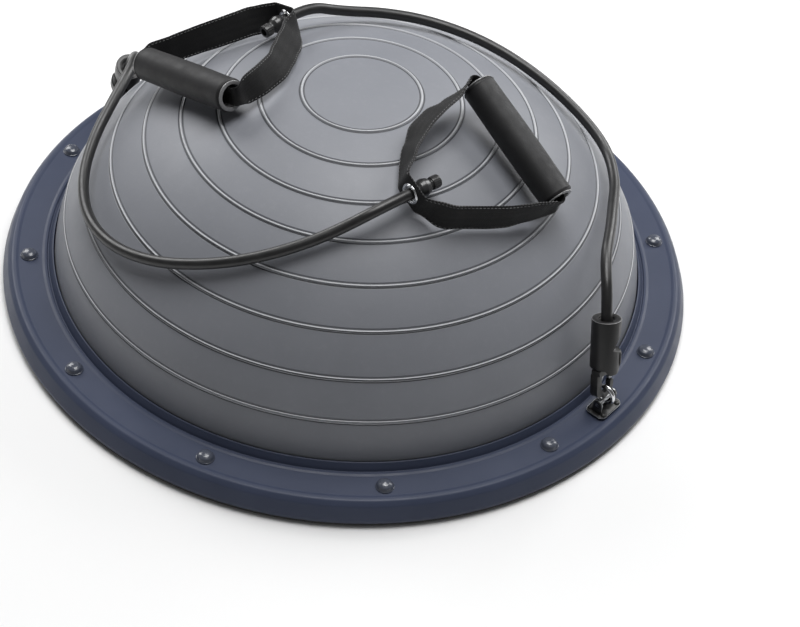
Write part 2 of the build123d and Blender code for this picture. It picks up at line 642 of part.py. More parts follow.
# ---------------------------------------------------------------- rubber tubes
for side, points in TUBE_ROUTES.items():
    radii = bend_radii(points)
    with BuildPart() as rubber_tube:
        with BuildLine() as route:
            FilletPolyline(*points, radius=radii)
        with BuildSketch(Plane(points[0], z_dir=Vector(*points[1]) - Vector(*points[0]))):
            Circle(TUBE_RADIUS)
        sweep(path=route.wires()[0])
    length = route.wires()[0].length
    ideal = pi * TUBE_RADIUS ** 2 * length
    print(f"rubber_tube_{side}: length {length:.1f} mm, volume ratio {rubber_tube.part.volume / ideal:.4f}")
    print("  bend radii", [round(radius, 1) for radius in radii])
    save(rubber_tube.part, f"rubber_tube_{side}")

# ---------------------------------------------------------------- handles
for name, placement in HANDLES.items():
    loop = handle_frame(*placement)
    core_end = GRIP_HALF + CORE_FLANGE_THICKNESS

    with BuildPart() as handle_strap:
        with BuildSketch(loop):
            with BuildLine():
                strap_line()
            make_face()
            offset(amount=STRAP_THICKNESS / 2)
        extrude(amount=STRAP_WIDTH / 2, both=True)
        with BuildSketch(loop):
            with BuildLine():
                strap_line()
            make_face()
            offset(amount=-STRAP_THICKNESS / 2)
        extrude(amount=STRAP_WIDTH, both=True, mode=Mode.SUBTRACT)
        for sign in (-1, 1):
            with BuildSketch(loop.offset(sign * STRAP_WIDTH_IN_CORE / 2)):
                with Locations((LOOP_DEPTH, 0)):
                    Rectangle(12, 2 * core_end + 0.6)
            extrude(amount=sign * STRAP_WIDTH, mode=Mode.SUBTRACT)
        with BuildSketch(cross_plane(loop, -STRAP_THICKNESS)):
            Circle(GROMMET_BARREL + 0.05)
        extrude(amount=2 * STRAP_THICKNESS, mode=Mode.SUBTRACT)
    save(handle_strap.part, f"handle_strap_{name}")

    with BuildPart() as grommet:
        with BuildSketch(cross_plane(loop, -GROMMET_HALF)):
            Circle(GROMMET_BARREL)
            Circle(GROMMET_HOLE, mode=Mode.SUBTRACT)
        extrude(amount=2 * GROMMET_HALF)
        for start in (-GROMMET_HALF, STRAP_THICKNESS / 2):
            with BuildSketch(cross_plane(loop, start)):
                Circle(GROMMET_FLANGE)
                Circle(GROMMET_HOLE, mode=Mode.SUBTRACT)
            extrude(amount=GROMMET_HALF - STRAP_THICKNESS / 2)
    save(grommet.part, f"grommet_{name}")

    with BuildPart() as grip_core:
        with BuildSketch(grip_plane(loop, -core_end)):
            Circle(CORE_RADIUS)
        extrude(amount=2 * core_end)
        for start in (-core_end, GRIP_HALF):
            with BuildSketch(grip_plane(loop, start)):
                Circle(CORE_FLANGE)
            extrude(amount=CORE_FLANGE_THICKNESS)
        with BuildSketch(grip_plane(loop, -core_end)):
            Circle(CORE_BORE)
        extrude(amount=2 * core_end, mode=Mode.SUBTRACT)
    save(grip_core.part, f"grip_core_{name}")

    with BuildPart() as grip_foam:
        with BuildSketch(grip_plane(loop, -GRIP_HALF + 0.05)):
            Circle(GRIP_RADIUS)
        extrude(amount=2 * GRIP_HALF - 0.1)
        fillet(grip_foam.edges(), 2.5)
        with BuildSketch(grip_plane(loop, -GRIP_HALF)):
            Circle(CORE_RADIUS + 0.05)
        extrude(amount=2 * GRIP_HALF, mode=Mode.SUBTRACT)
    save(grip_foam.part, f"grip_foam_{name}")

    with BuildPart() as tube_plug:
        side_plane = Plane(loop.origin, x_dir=loop.x_dir, z_dir=loop.z_dir)
        with BuildSketch(side_plane):
            with BuildLine():
                Polyline((PLUG_END, 0), (PLUG_START, 0), (PLUG_START, TUBE_RADIUS))
                Spline(
                    (PLUG_START, TUBE_RADIUS), (11.0, 7.4), (18.0, TUBE_RADIUS - 0.3),
                    tangents=((1, 0.1), (1, 0)),
                )
                Polyline(
                    (18.0, TUBE_RADIUS - 0.3), (19.0, TUBE_RADIUS - 0.3), (19.0, 5.2),
                    (PLUG_END - 0.8, 5.2), (PLUG_END, 4.4), (PLUG_END, 0),
                )
            make_face()
        revolve(axis=Axis(loop.origin, loop.x_dir))
    save(tube_plug.part, f"tube_plug_{name}")

for name, placement in HANDLES.items():
    loop = handle_frame(*placement)
    print(f"handle {name}: grommet {loop.origin} along the grip {loop.y_dir} normal {loop.z_dir}")
for side, (azimuth, lean_in, lean_side) in ANCHORS.items():
    base = anchor_frame(azimuth)
    hook = hook_frame(base, lean_in, lean_side)
    gate_pivot = hook.from_local_coords((GATE_PIVOT_X, GATE_PIVOT_Y, 0))
    print(f"anchor {side}: pin {pin_centre(base)} axis {base.x_dir}")
    print(f"  hook bend {hook.origin} along {hook.y_dir} normal {hook.z_dir} gate pivot {gate_pivot}")
    print(f"  tube leaves the housing at {hook.from_local_coords((0, HOUSING_TOP, 0))}")
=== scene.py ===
import json
from math import acos, asin, atan2, ceil, cos, pi, radians, sin, sqrt, tan

import bmesh
import bpy
from mathutils import Matrix, Vector


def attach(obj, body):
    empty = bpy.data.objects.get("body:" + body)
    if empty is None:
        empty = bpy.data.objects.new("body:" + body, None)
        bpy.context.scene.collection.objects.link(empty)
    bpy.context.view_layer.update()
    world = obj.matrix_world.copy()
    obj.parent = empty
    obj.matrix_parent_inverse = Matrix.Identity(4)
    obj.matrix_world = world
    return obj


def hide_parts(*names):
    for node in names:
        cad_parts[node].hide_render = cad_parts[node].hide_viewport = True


# The frame is in metres. Local shapes below are drawn in millimetres and scaled when they are built.
MM = 0.001
WELD_DISTANCE = 0.01 * MM

# Studio: the surround's light on the trainer and its paleness where the camera sees it, then metres
WORLD_LIGHT = 0.13
WORLD_BACKDROP = 0.95
FLOOR_HALF = 6.0
LIGHT_SIZE = 1.2
LIGHT_TARGET = (0, 0, 0.1)

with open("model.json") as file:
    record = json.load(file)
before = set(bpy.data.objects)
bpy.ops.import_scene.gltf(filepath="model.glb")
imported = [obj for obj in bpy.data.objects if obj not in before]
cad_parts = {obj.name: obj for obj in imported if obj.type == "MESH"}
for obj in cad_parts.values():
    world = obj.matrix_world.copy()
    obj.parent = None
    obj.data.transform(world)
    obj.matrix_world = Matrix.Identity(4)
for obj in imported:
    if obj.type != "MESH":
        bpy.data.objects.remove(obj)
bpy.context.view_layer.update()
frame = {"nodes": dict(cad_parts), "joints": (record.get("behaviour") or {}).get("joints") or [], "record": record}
JOINTS = {joint["name"]: joint for joint in frame["joints"]}

# Sizes in millimetres, and counts. They are the CAD's, but the webbing is a little wider.
RING_RADIUS = 292.5
DOME_RADIUS = 249.5
DOME_HEIGHT = 182.4
DOME_CENTRE = 11.9
DOME_SKIRT = 16.0
RIB_RADII = (48.5, 81.7, 114.5, 144.4, 174.0, 200.8, 224.2, 240.0)
CREST_HALF = 1.0
GROOVE_HALF = 2.6
SCREW_COUNT = 12
SCREW_CIRCLE = 270.0
SCREW_START = -80.7
FOOT_COUNT = 8
FOOT_CIRCLE = 240.0
TUBE_DIAMETER = 9.0
LOOP_DEPTH = 110.0
GRIP_HALF = 56.0
FOAM_STEPS = 60
KNURL_COUNT = 20
STRAP_HALF_WIDTH = 12.2
STRAP_HALF_IN_GRIP = 8.2
STRAP_HALF_THICKNESS = 0.85
STRAP_STEP = 1.6
STRAP_STEPS_ACROSS = 14
LEG_STATIONS = (2, 14, 28, 45, 62, 80, 102)
STITCH_SHARE = 0.86
STRAP_HALF_LOOP = ((0.0, 11.5, 6.0), (17.0, 30.0, 30.0), (62.0, 51.0, 60.0), (LOOP_DEPTH, 62.8, 4.2))

# Lean of the link towards the dome and of the hook along the rim, degrees
LEANS = {"right": (17.0, 13.5), "left": (24.0, 14.0)}
PIN_HEIGHT = 10.5
PLATE_THICKNESS = 2.5
CHEEK_STARTS = (-11.0, 8.5)
LINK_RADIUS = 8.0
LINK_WIRE = 1.8
LINK_OFFSET = 4.0
HOOK_RISE = 13.5
GATE_PIVOT = (8.0, 12.5)

# Tube routes, metres: from inside the clip housing to the plug behind the grommet
TUBE_ROUTES = {
    "right": [
        (0.2085, -0.1465, 0.0831), (0.2058, -0.1351, 0.1129), (0.2027, -0.1006, 0.1282),
        (0.2081, -0.0673, 0.1278), (0.2115, -0.0351, 0.1257), (0.2158, 0.0033, 0.1204),
        (0.2098, 0.0438, 0.1219), (0.1847, 0.0715, 0.1357), (0.1460, 0.0976, 0.1529),
        (0.1017, 0.1206, 0.1641), (0.0543, 0.1323, 0.1718), (0.0127, 0.1299, 0.1778),
        (-0.0237, 0.1175, 0.1842), (-0.0523, 0.1055, 0.1946), (-0.0705, 0.0856, 0.1920),
    ],
    "left": [
        (-0.2081, 0.1366, 0.0808), (-0.2030, 0.1246, 0.1056), (-0.1955, 0.1070, 0.1275),
        (-0.1955, 0.0790, 0.1355), (-0.2065, 0.0390, 0.1280), (-0.2178, 0.0005, 0.1165),
        (-0.2206, -0.0421, 0.1079), (-0.2097, -0.0849, 0.1057), (-0.1844, -0.1220, 0.1121),
        (-0.1489, -0.1484, 0.1242), (-0.1083, -0.1616, 0.1386), (-0.0690, -0.1632, 0.1516),
        (-0.0315, -0.1551, 0.1640), (-0.0040, -0.1447, 0.1748), (0.0222, -0.1356, 0.1892),
        (0.0480, -0.1120, 0.1890),
    ],
}


# ---------------------------------------------------------------- local frames
def place(origin, x_axis, y_axis, z_axis):
    """Matrix of a local frame, from its origin in metres and its axes."""
    matrix = Matrix.Identity(4)
    for column, axis in enumerate((x_axis, y_axis, z_axis)):
        for row in range(3):
            matrix[row][column] = axis[row]
    for row in range(3):
        matrix[row][3] = origin[row]
    return matrix


def column(matrix, index):
    """One axis of a local frame, or its origin for index 3."""
    return Vector(matrix.col[index][:3])


def handle_place(name):
    """A handle's frame: x from grommet to grip, y along the grip, z out of the loop's plane."""
    grommet = Vector(JOINTS[f"handle_lift_{name}"]["pos_m"])
    grip = JOINTS[f"grip_spin_{name}"]
    x_axis = (Vector(grip["pos_m"]) - grommet).normalized()
    y_axis = Vector(grip["axis"]).normalized()
    return place(grommet, x_axis, y_axis, x_axis.cross(y_axis))


def anchor_place(side):
    """An anchor's frame on its pin: x along the rim, y towards the dome, z up."""
    joint = JOINTS[f"link_swing_{side}"]
    x_axis = Vector(joint["axis"]).normalized()
    z_axis = Vector((0, 0, 1))
    return place(Vector(joint["pos_m"]), x_axis, z_axis.cross(x_axis), z_axis)


def hook_place(side):
    """A snap hook's frame: origin at its bend's centre, x across, y towards the tube."""
    anchor = anchor_place(side)
    lean_in, lean_side = [radians(angle) for angle in LEANS[side]]
    rim, inward, up = [column(anchor, axis) for axis in range(3)]
    stand = inward * sin(lean_in) + up * cos(lean_in)
    along = stand * cos(lean_side) + rim * sin(lean_side)
    sideways = rim * cos(lean_side) - stand * sin(lean_side)
    origin = column(anchor, 3) + stand * HOOK_RISE * MM
    return place(origin, sideways, along, sideways.cross(along))


def turned(matrix, z_column, x_column):
    """The same frame with its axes renamed, so that z_column becomes z and x_column becomes x."""
    z_axis = column(matrix, z_column)
    x_axis = column(matrix, x_column)
    return place(column(matrix, 3), x_axis, z_axis.cross(x_axis), z_axis)


# ---------------------------------------------------------------- shapes
def smooth_step(value, low, high):
    """0 below low, 1 above high and smooth between."""
    share = max(0.0, min(1.0, (value - low) / (high - low)))
    return share * share * (3 - 2 * share)


class Shape:
    """Points in millimetres and faces, which grow by strips, turned profiles and plates."""

    def __init__(self):
        self.points = []
        self.faces = []

    def rings(self, rings, closed_rows=False, caps=False):
        """Skins a list of equally long closed rings of points."""
        start = len(self.points)
        size = len(rings[0])
        for ring in rings:
            self.points.extend(Vector(point) for point in ring)
        rows = len(rings) if closed_rows else len(rings) - 1
        for row in range(rows):
            here = start + row * size
            there = start + (row + 1) % len(rings) * size
            for k in range(size):
                after = (k + 1) % size
                self.faces.append((here + k, here + after, there + after, there + k))
        if caps:
            self.faces.append(tuple(start + k for k in reversed(range(size))))
            last = start + (len(rings) - 1) * size
            self.faces.append(tuple(last + k for k in range(size)))
        return self

    def lathe(self, profile, steps=72, centre=(0, 0), closed=True):
        """Turns a profile of (radius, height) about local z."""
        angles = [2 * pi * step / steps for step in range(steps)]
        rings = [
            [(centre[0] + radius * cos(a), centre[1] + radius * sin(a), height) for a in angles]
            for radius, height in profile
        ]
        return self.rings(rings, closed_rows=closed)

    def plate(self, outline, bottom, top):
        """Extrudes an outline in local x and y."""
        rings = [[(x, y, level) for x, y in outline] for level in (bottom, top)]
        return self.rings(rings, caps=True)

    def add(self, other, matrix):
        """Takes in another shape, moved by a matrix in millimetres."""
        start = len(self.points)
        self.points.extend(matrix @ point for point in other.points)
        self.faces.extend(tuple(start + k for k in face) for face in other.faces)
        return self


def rounded(corners, steps=5):
    """A closed outline of (x, y, radius) corners, with each corner rounded by an arc."""
    outline = []
    count = len(corners)
    for k, (x, y, radius) in enumerate(corners):
        here = Vector((x, y))
        if radius <= 0:
            outline.append((x, y))
            continue
        before = (Vector(corners[k - 1][:2]) - here).normalized()
        after = (Vector(corners[(k + 1) % count][:2]) - here).normalized()
        opening = acos(max(-1.0, min(1.0, before.dot(after))))
        setback = radius / tan(opening / 2)
        middle = here + (before + after).normalized() * radius / sin(opening / 2)
        first = here + before * setback - middle
        last = here + after * setback - middle
        swing = atan2(first.cross(last), first.dot(last))
        start = atan2(first.y, first.x)
        for step in range(steps + 1):
            angle = start + swing * step / steps
            outline.append((middle.x + radius * cos(angle), middle.y + radius * sin(angle)))
    return outline


def oval(centre, half_width, half_height, steps):
    """Outline of a circle or an ellipse."""
    angles = [2 * pi * step / steps for step in range(steps)]
    return [(centre[0] + half_width * cos(a), centre[1] + half_height * sin(a)) for a in angles]


def disc_profile(radius, bottom, top, edge, bore=0.01):
    """Profile of a disc or sleeve with rounded edges."""
    corners = [(bore, bottom, 0), (radius, bottom, edge), (radius, top, edge), (bore, top, 0)]
    return rounded(corners, 3)


def capsule(length, radius, sides=6):
    """A stitch: a short rounded thread along local x."""
    rings = []
    for along, share in ((-0.5, 0.25), (-0.42, 0.8), (-0.2, 1.0), (0.2, 1.0), (0.42, 0.8), (0.5, 0.25)):
        section = oval((0, 0), radius * share, radius * share, sides)
        rings.append([(along * length, y, z) for y, z in section])
    return Shape().rings(rings, caps=True)


def shape_mesh(name, shape, matrix):
    """A shape as a mesh, placed by a matrix in metres."""
    mesh = bpy.data.meshes.new(name)
    mesh.from_pydata([matrix @ (Vector(point) * MM) for point in shape.points], [], shape.faces)
    return mesh


def weld(mesh):
    """Joins points that lie on each other and turns the faces outwards."""
    builder = bmesh.new()
    builder.from_mesh(mesh)
    bmesh.ops.remove_doubles(builder, verts=builder.verts, dist=WELD_DISTANCE)
    bmesh.ops.recalc_face_normals(builder, faces=builder.faces)
    builder.to_mesh(mesh)
    builder.free()


def new_object(name, data):
    """An object in the scene that shows a mesh, curve, light or camera."""
    made = bpy.data.objects.new(name, data)
    bpy.context.scene.collection.objects.link(made)
    return made


def smooth_shading(piece, sharp):
    """Smooth shading with sharp edges above an angle in degrees."""
    piece.data.shade_smooth()
    piece.data.set_sharp_from_angle(angle=radians(sharp))


def make_piece(name, shape, matrix, body, slot, replaces=(), look=None, bevel=0.0, sharp=40.0):
    """Builds a shape as an object that rides on a body, with its slot's material or another look."""
    mesh = shape_mesh(name, shape, matrix)
    mesh.validate()
    weld(mesh)
    piece = new_object(name, mesh)
    mesh.materials.append(MATERIALS[look or slot])
    if bevel:
        edge = piece.modifiers.new("edge", "BEVEL")
        edge.width = bevel * MM
        edge.segments = 3
        edge.limit_method = "ANGLE"
        edge.angle_limit = radians(35)
        apply_modifiers(piece)
    smooth_shading(piece, sharp)
    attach(piece, body)
    if replaces:
        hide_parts(*replaces)
    return piece


def apply_modifiers(piece):
    """Makes the modified mesh the piece's own."""
    bpy.context.view_layer.update()
    evaluated = piece.evaluated_get(bpy.context.evaluated_depsgraph_get())
    piece.data = bpy.data.meshes.new_from_object(evaluated)
    piece.modifiers.clear()


# ---------------------------------------------------------------- materials
def node(tree, kind, **settings):
    """Adds a shader node and sets its properties and inputs."""
    made = tree.nodes.new(kind)
    for key, value in settings.items():
        if key in made.inputs:
            made.inputs[key].default_value = value
        else:
            setattr(made, key, value)
    return made


def math_node(tree, operation, first, second=None):
    """A maths node whose inputs are sockets or numbers."""
    made = tree.nodes.new("ShaderNodeMath")
    made.operation = operation
    for slot_index, value in enumerate((first, second)):
        if value is None:
            continue
        if isinstance(value, (int, float)):
            made.inputs[slot_index].default_value = value
        else:
            tree.links.new(value, made.inputs[slot_index])
    return made.outputs[0]


def noise(tree, coordinates, scale, detail=4.0, roughness=0.55, stretch=None):
    """A noise field from 0 to 1, with about scale features in a metre."""
    source = coordinates
    if stretch:
        mapping = node(tree, "ShaderNodeMapping")
        mapping.inputs["Scale"].default_value = stretch
        tree.links.new(coordinates, mapping.inputs["Vector"])
        source = mapping.outputs["Vector"]
    made = node(tree, "ShaderNodeTexNoise", Scale=scale, Detail=detail, Roughness=roughness)
    tree.links.new(source, made.inputs["Vector"])
    return made.outputs["Fac"]


def spread(tree, value, low, high, start=0.3, end=0.7):
    """Maps part of a 0 to 1 field to a range."""
    made = node(tree, "ShaderNodeMapRange")
    made.inputs["From Min"].default_value = start
    made.inputs["From Max"].default_value = end
    made.inputs["To Min"].default_value = low
    made.inputs["To Max"].default_value = high
    tree.links.new(value, made.inputs["Value"])
    return made.outputs["Result"]


def blend_colours(tree, share, first, second):
    """Mixes two colours or sockets by a share."""
    made = tree.nodes.new("ShaderNodeMix")
    made.data_type = "RGBA"
    tree.links.new(share, made.inputs[0])
    for socket, value in ((made.inputs[6], first), (made.inputs[7], second)):
        if isinstance(value, (tuple, list)):
            socket.default_value = (*value, 1.0)
        else:
            tree.links.new(value, socket)
    return made.outputs[2]


def bump(tree, height, depth, strength=1.0, base=None):
    """Turns a 0 to 1 field into relief, depth in millimetres."""
    made = node(tree, "ShaderNodeBump", Strength=strength, Distance=depth * MM)
    tree.links.new(height, made.inputs["Height"])
    if base is not None:
        tree.links.new(base, made.inputs["Normal"])
    return made.outputs["Normal"]


def new_surface(name, **constants):
    """An empty material with its Principled shader, and the constants set on its sockets."""
    material = bpy.data.materials.new(name)
    material.use_nodes = True
    tree = material.node_tree
    shader = tree.nodes["Principled BSDF"]
    for key, value in constants.items():
        shader.inputs[key.replace("_", " ")].default_value = value
    coordinates = node(tree, "ShaderNodeTexCoord").outputs["Object"]
    return material, tree, shader, coordinates


def link_surface(tree, shader, colour=None, roughness=None, normal=None):
    """Connects the worked-out fields to the shader."""
    for socket, value in (("Base Color", colour), ("Roughness", roughness), ("Normal", normal)):
        if value is not None:
            tree.links.new(value, shader.inputs[socket])


def dome_vinyl():
    """Satin grey PVC: fine embossed grain, faint cloudiness, a painted highlight on the rib crests and painted
    shade in the grooves beside them.
    """
    material, tree, shader, place_at = new_surface("dome_vinyl", Specular_IOR_Level=0.45)
    cloud = spread(tree, noise(tree, place_at, 9.0, 3.0), 0.0, 1.0)
    colour = blend_colours(tree, cloud, (0.186, 0.194, 0.216), (0.208, 0.216, 0.240))
    dust = spread(tree, noise(tree, place_at, 160.0, 6.0, 0.7), 0.0, 0.12, 0.52, 0.78)
    colour = blend_colours(tree, dust, colour, (0.32, 0.33, 0.35))
    crest = node(tree, "ShaderNodeAttribute", attribute_name="rib_crest").outputs["Fac"]
    groove = node(tree, "ShaderNodeAttribute", attribute_name="rib_groove_shade").outputs["Fac"]
    # Painted shade: the grooves beside each rib are darkened.
    colour = blend_colours(tree, groove, colour, (0.045, 0.047, 0.054))
    # Painted highlight: the rib crests are lightened; they are also made glossier just below.
    colour = blend_colours(tree, crest, colour, (0.42, 0.43, 0.45))
    satin = spread(tree, noise(tree, place_at, 30.0, 5.0), 0.42, 0.52)
    roughness = math_node(tree, "SUBTRACT", satin, math_node(tree, "MULTIPLY", crest, 0.16))
    grain = noise(tree, place_at, 1100.0, 2.0, 0.5)
    broad = noise(tree, place_at, 240.0, 3.0, 0.5)
    relief = bump(tree, grain, 0.10, 0.35)
    relief = bump(tree, broad, 0.12, 0.25, relief)
    link_surface(tree, shader, colour, roughness, relief)
    return material


def ring_plastic():
    """Navy moulded plastic: fine spark-eroded texture, faint scuffs."""
    material, tree, shader, place_at = new_surface("ring_plastic", Specular_IOR_Level=0.22)
    cloud = spread(tree, noise(tree, place_at, 14.0, 4.0), 0.0, 1.0)
    colour = blend_colours(tree, cloud, (0.043, 0.053, 0.088), (0.051, 0.062, 0.102))
    scuff = noise(tree, place_at, 90.0, 8.0, 0.75, (1.0, 3.5, 1.0))
    colour = blend_colours(tree, spread(tree, scuff, 0.0, 0.20, 0.66, 0.82), colour, (0.09, 0.10, 0.13))
    roughness = spread(tree, noise(tree, place_at, 45.0, 5.0), 0.34, 0.46)
    relief = bump(tree, noise(tree, place_at, 1500.0, 2.0, 0.5), 0.06, 0.45)
    link_surface(tree, shader, colour, roughness, relief)
    return material


def moulded(name, dark, light, roughness, grain_scale=1300.0, grain_depth=0.05, coat=0.0):
    """Moulded plastic or rubber with a fine grain and slightly uneven gloss."""
    material, tree, shader, place_at = new_surface(name, Coat_Weight=coat, Coat_Roughness=0.2)
    cloud = spread(tree, noise(tree, place_at, 60.0, 5.0), 0.0, 1.0)
    colour = blend_colours(tree, cloud, dark, light)
    gloss = spread(tree, noise(tree, place_at, 140.0, 5.0), roughness - 0.05, roughness + 0.07)
    relief = bump(tree, noise(tree, place_at, grain_scale, 2.0, 0.5), grain_depth, 0.5)
    link_surface(tree, shader, colour, gloss, relief)
    return material


def foam():
    """Closed-cell foam: pinprick cells, soft wrinkles and a matt skin."""
    material, tree, shader, place_at = new_surface("grip_foam", Sheen_Weight=0.04, Specular_IOR_Level=0.42)
    cells = node(tree, "ShaderNodeTexVoronoi", Scale=1500.0, Randomness=1.0)
    tree.links.new(place_at, cells.inputs["Vector"])
    pores = spread(tree, cells.outputs["Distance"], 0.0, 1.0, 0.0, 0.55)
    colour = blend_colours(tree, pores, (0.004, 0.004, 0.0045), (0.009, 0.009, 0.010))
    wear_and_highlight = spread(tree, noise(tree, place_at, 45.0, 6.0, 0.6), 0.0, 0.5, 0.45, 0.75)
    colour = blend_colours(tree, wear_and_highlight, colour, (0.015, 0.015, 0.017))
    roughness = spread(tree, noise(tree, place_at, 120.0, 4.0), 0.50, 0.64)
    relief = bump(tree, pores, 0.10, 0.5)
    relief = bump(tree, noise(tree, place_at, 260.0, 4.0, 0.6), 0.16, 0.35, relief)
    link_surface(tree, shader, colour, roughness, relief)
    return material


def latex():
    """Dipped latex tube: satin, with faint rings from dipping and a little bloom."""
    material, tree, shader, place_at = new_surface("tube_latex", Specular_IOR_Level=0.6)
    bloom = spread(tree, noise(tree, place_at, 70.0, 6.0, 0.65), 0.0, 1.0, 0.35, 0.75)
    colour = blend_colours(tree, bloom, (0.010, 0.010, 0.0105), (0.018, 0.018, 0.0185))
    roughness = spread(tree, noise(tree, place_at, 160.0, 4.0), 0.32, 0.44)
    relief = bump(tree, noise(tree, place_at, 420.0, 3.0, 0.5), 0.08, 0.3)
    link_surface(tree, shader, colour, roughness, relief)
    return material


def woven(name, dark, light):
    """Herringbone webbing, drawn on the strap's own length and width, with a painted highlight dotted along its
    edges.
    """
    material, tree, shader, place_at = new_surface(
        name, Sheen_Weight=0.04, Sheen_Roughness=0.4, Specular_IOR_Level=0.3)
    unrolled = node(tree, "ShaderNodeUVMap", uv_map="unrolled").outputs["UV"]
    split = node(tree, "ShaderNodeSeparateXYZ")
    tree.links.new(unrolled, split.inputs[0])
    along = split.outputs["X"]
    width = split.outputs["Y"]
    zigzag = math_node(tree, "PINGPONG", width, 2.9)
    diagonal = math_node(tree, "ADD", along, zigzag)
    twill = math_node(tree, "SINE", math_node(tree, "MULTIPLY", diagonal, 2 * pi / 1.5))
    warp = math_node(tree, "SINE", math_node(tree, "MULTIPLY", width, 2 * pi / 0.72))
    height = math_node(tree, "ADD", math_node(tree, "MULTIPLY", twill, 0.36), 0.5)
    height = math_node(tree, "ADD", height, math_node(tree, "MULTIPLY", warp, 0.14))
    fuzz = noise(tree, place_at, 700.0, 5.0, 0.7)
    colour = blend_colours(tree, height, dark, light)
    wear_and_highlight = spread(tree, noise(tree, place_at, 55.0, 5.0, 0.6), 0.0, 0.4, 0.45, 0.8)
    colour = blend_colours(tree, wear_and_highlight, colour, tuple(1.7 * channel for channel in light))
    # Painted highlight: a light dotted line along both edges of the webbing.
    from_middle = math_node(tree, "ABSOLUTE", math_node(tree, "SUBTRACT", width, STRAP_HALF_WIDTH))
    selvedge = spread(tree, from_middle, 0.0, 1.0, STRAP_HALF_WIDTH - 0.9, STRAP_HALF_WIDTH - 0.4)
    wave = math_node(tree, "SINE", math_node(tree, "MULTIPLY", along, 2 * pi / 2.6))
    loops = spread(tree, wave, 0.0, 0.7, -0.2, 0.5)
    edge_highlight = math_node(tree, "MULTIPLY", selvedge, loops)
    colour = blend_colours(tree, edge_highlight, colour, (0.10, 0.10, 0.104))
    roughness = spread(tree, fuzz, 0.55, 0.75)
    relief = bump(tree, height, 0.22, 0.8)
    relief = bump(tree, fuzz, 0.05, 0.4, relief)
    link_surface(tree, shader, colour, roughness, relief)
    return material


def metal(name, dark, light, roughness, stretch=None, coat=0.0, metallic=1.0):
    """Plated, brushed or painted metal with fine scratches."""
    material, tree, shader, place_at = new_surface(name, Metallic=metallic, Coat_Weight=coat)
    cloud = spread(tree, noise(tree, place_at, 120.0, 5.0), 0.0, 1.0)
    colour = blend_colours(tree, cloud, dark, light)
    scratches = noise(tree, place_at, 900.0, 6.0, 0.7, stretch)
    gloss = spread(tree, scratches, roughness - 0.04, roughness + 0.10)
    relief = bump(tree, scratches, 0.012, 0.4)
    link_surface(tree, shader, colour, gloss, relief)
    return material


def thread():
    """Polyester sewing thread."""
    material, tree, shader, place_at = new_surface("sewing_thread", Sheen_Weight=0.2)
    twist = noise(tree, place_at, 1800.0, 3.0, 0.6)
    colour = blend_colours(tree, twist, (0.07, 0.07, 0.072), (0.16, 0.16, 0.165))
    link_surface(tree, shader, colour, spread(tree, twist, 0.45, 0.65), bump(tree, twist, 0.05, 0.6))
    return material


MATERIALS = {
    "dome_vinyl": dome_vinyl(),
    "ring_plastic": ring_plastic(),
    "tray_plastic": moulded("tray_plastic", (0.010, 0.010, 0.011), (0.018, 0.018, 0.019), 0.46),
    "foot_rubber": moulded("foot_rubber", (0.018, 0.018, 0.018), (0.030, 0.030, 0.030), 0.66, 800.0, 0.10),
    "valve_plastic": moulded("valve_plastic", (0.016, 0.016, 0.018), (0.026, 0.026, 0.028), 0.40),
    "valve_rubber": moulded("valve_rubber", (0.020, 0.020, 0.021), (0.034, 0.034, 0.035), 0.58, 900.0, 0.08),
    "black_plastic": moulded("black_plastic", (0.006, 0.006, 0.0062), (0.011, 0.011, 0.0112), 0.36),
    # Grey plastic that paints highlights: on the grip cores' flange rims and on the clip housings' top edges.
    "highlight_grey_plastic": moulded("highlight_grey_plastic", (0.17, 0.17, 0.175), (0.23, 0.23, 0.235), 0.26, coat=0.5),
    "cap_plastic": moulded("cap_plastic", (0.060, 0.068, 0.092), (0.074, 0.083, 0.110), 0.20, coat=0.6),
    "plug_plastic": moulded("plug_plastic", (0.020, 0.020, 0.021), (0.034, 0.034, 0.035), 0.30, coat=0.3),
    "grip_foam": foam(),
    "tube_latex": latex(),
    "webbing": woven("webbing", (0.0025, 0.0025, 0.0028), (0.008, 0.008, 0.0086)),
    "black_metal": metal("black_metal", (0.005, 0.005, 0.0052), (0.010, 0.010, 0.0105), 0.40,
                         coat=0.15, metallic=0.0),
    "chrome_wire": metal("chrome_wire", (0.62, 0.63, 0.65), (0.78, 0.79, 0.80), 0.13),
    "gate_steel": metal("gate_steel", (0.30, 0.31, 0.32), (0.42, 0.43, 0.44), 0.34, (1.0, 1.0, 9.0)),
    "zinc_steel": metal("zinc_steel", (0.42, 0.43, 0.45), (0.58, 0.59, 0.60), 0.30),
    "thread": thread(),
}


# ---------------------------------------------------------------- camera, floor and lights
def make_camera():
    """Camera above the front edge, rolled so that the trainer tips to the right."""
    eye = Vector((0.0, -1.2950, 1.1988))
    target = Vector((0.0504, 0.0, -0.0503))
    roll = radians(6.55)
    forward = (target - eye).normalized()
    level = forward.cross(Vector((0, 0, 1))).normalized()
    top = level.cross(forward)
    right = level * cos(roll) + top * sin(roll)
    up = top * cos(roll) - level * sin(roll)
    data = bpy.data.cameras.new("camera")
    data.lens = 91.57
    data.sensor_width = 36.0
    camera = new_object("camera", data)
    camera.matrix_world = place(eye, right, up, -forward)
    bpy.context.scene.camera = camera


def make_light(name, location, power):
    """A square soft box that faces the trainer."""
    data = bpy.data.lights.new(name, "AREA")
    data.size = LIGHT_SIZE
    data.energy = power
    light = new_object(name, data)
    light.location = location
    direction = Vector(LIGHT_TARGET) - Vector(location)
    light.rotation_mode = "QUATERNION"
    light.rotation_quaternion = direction.to_track_quat("-Z", "Y")


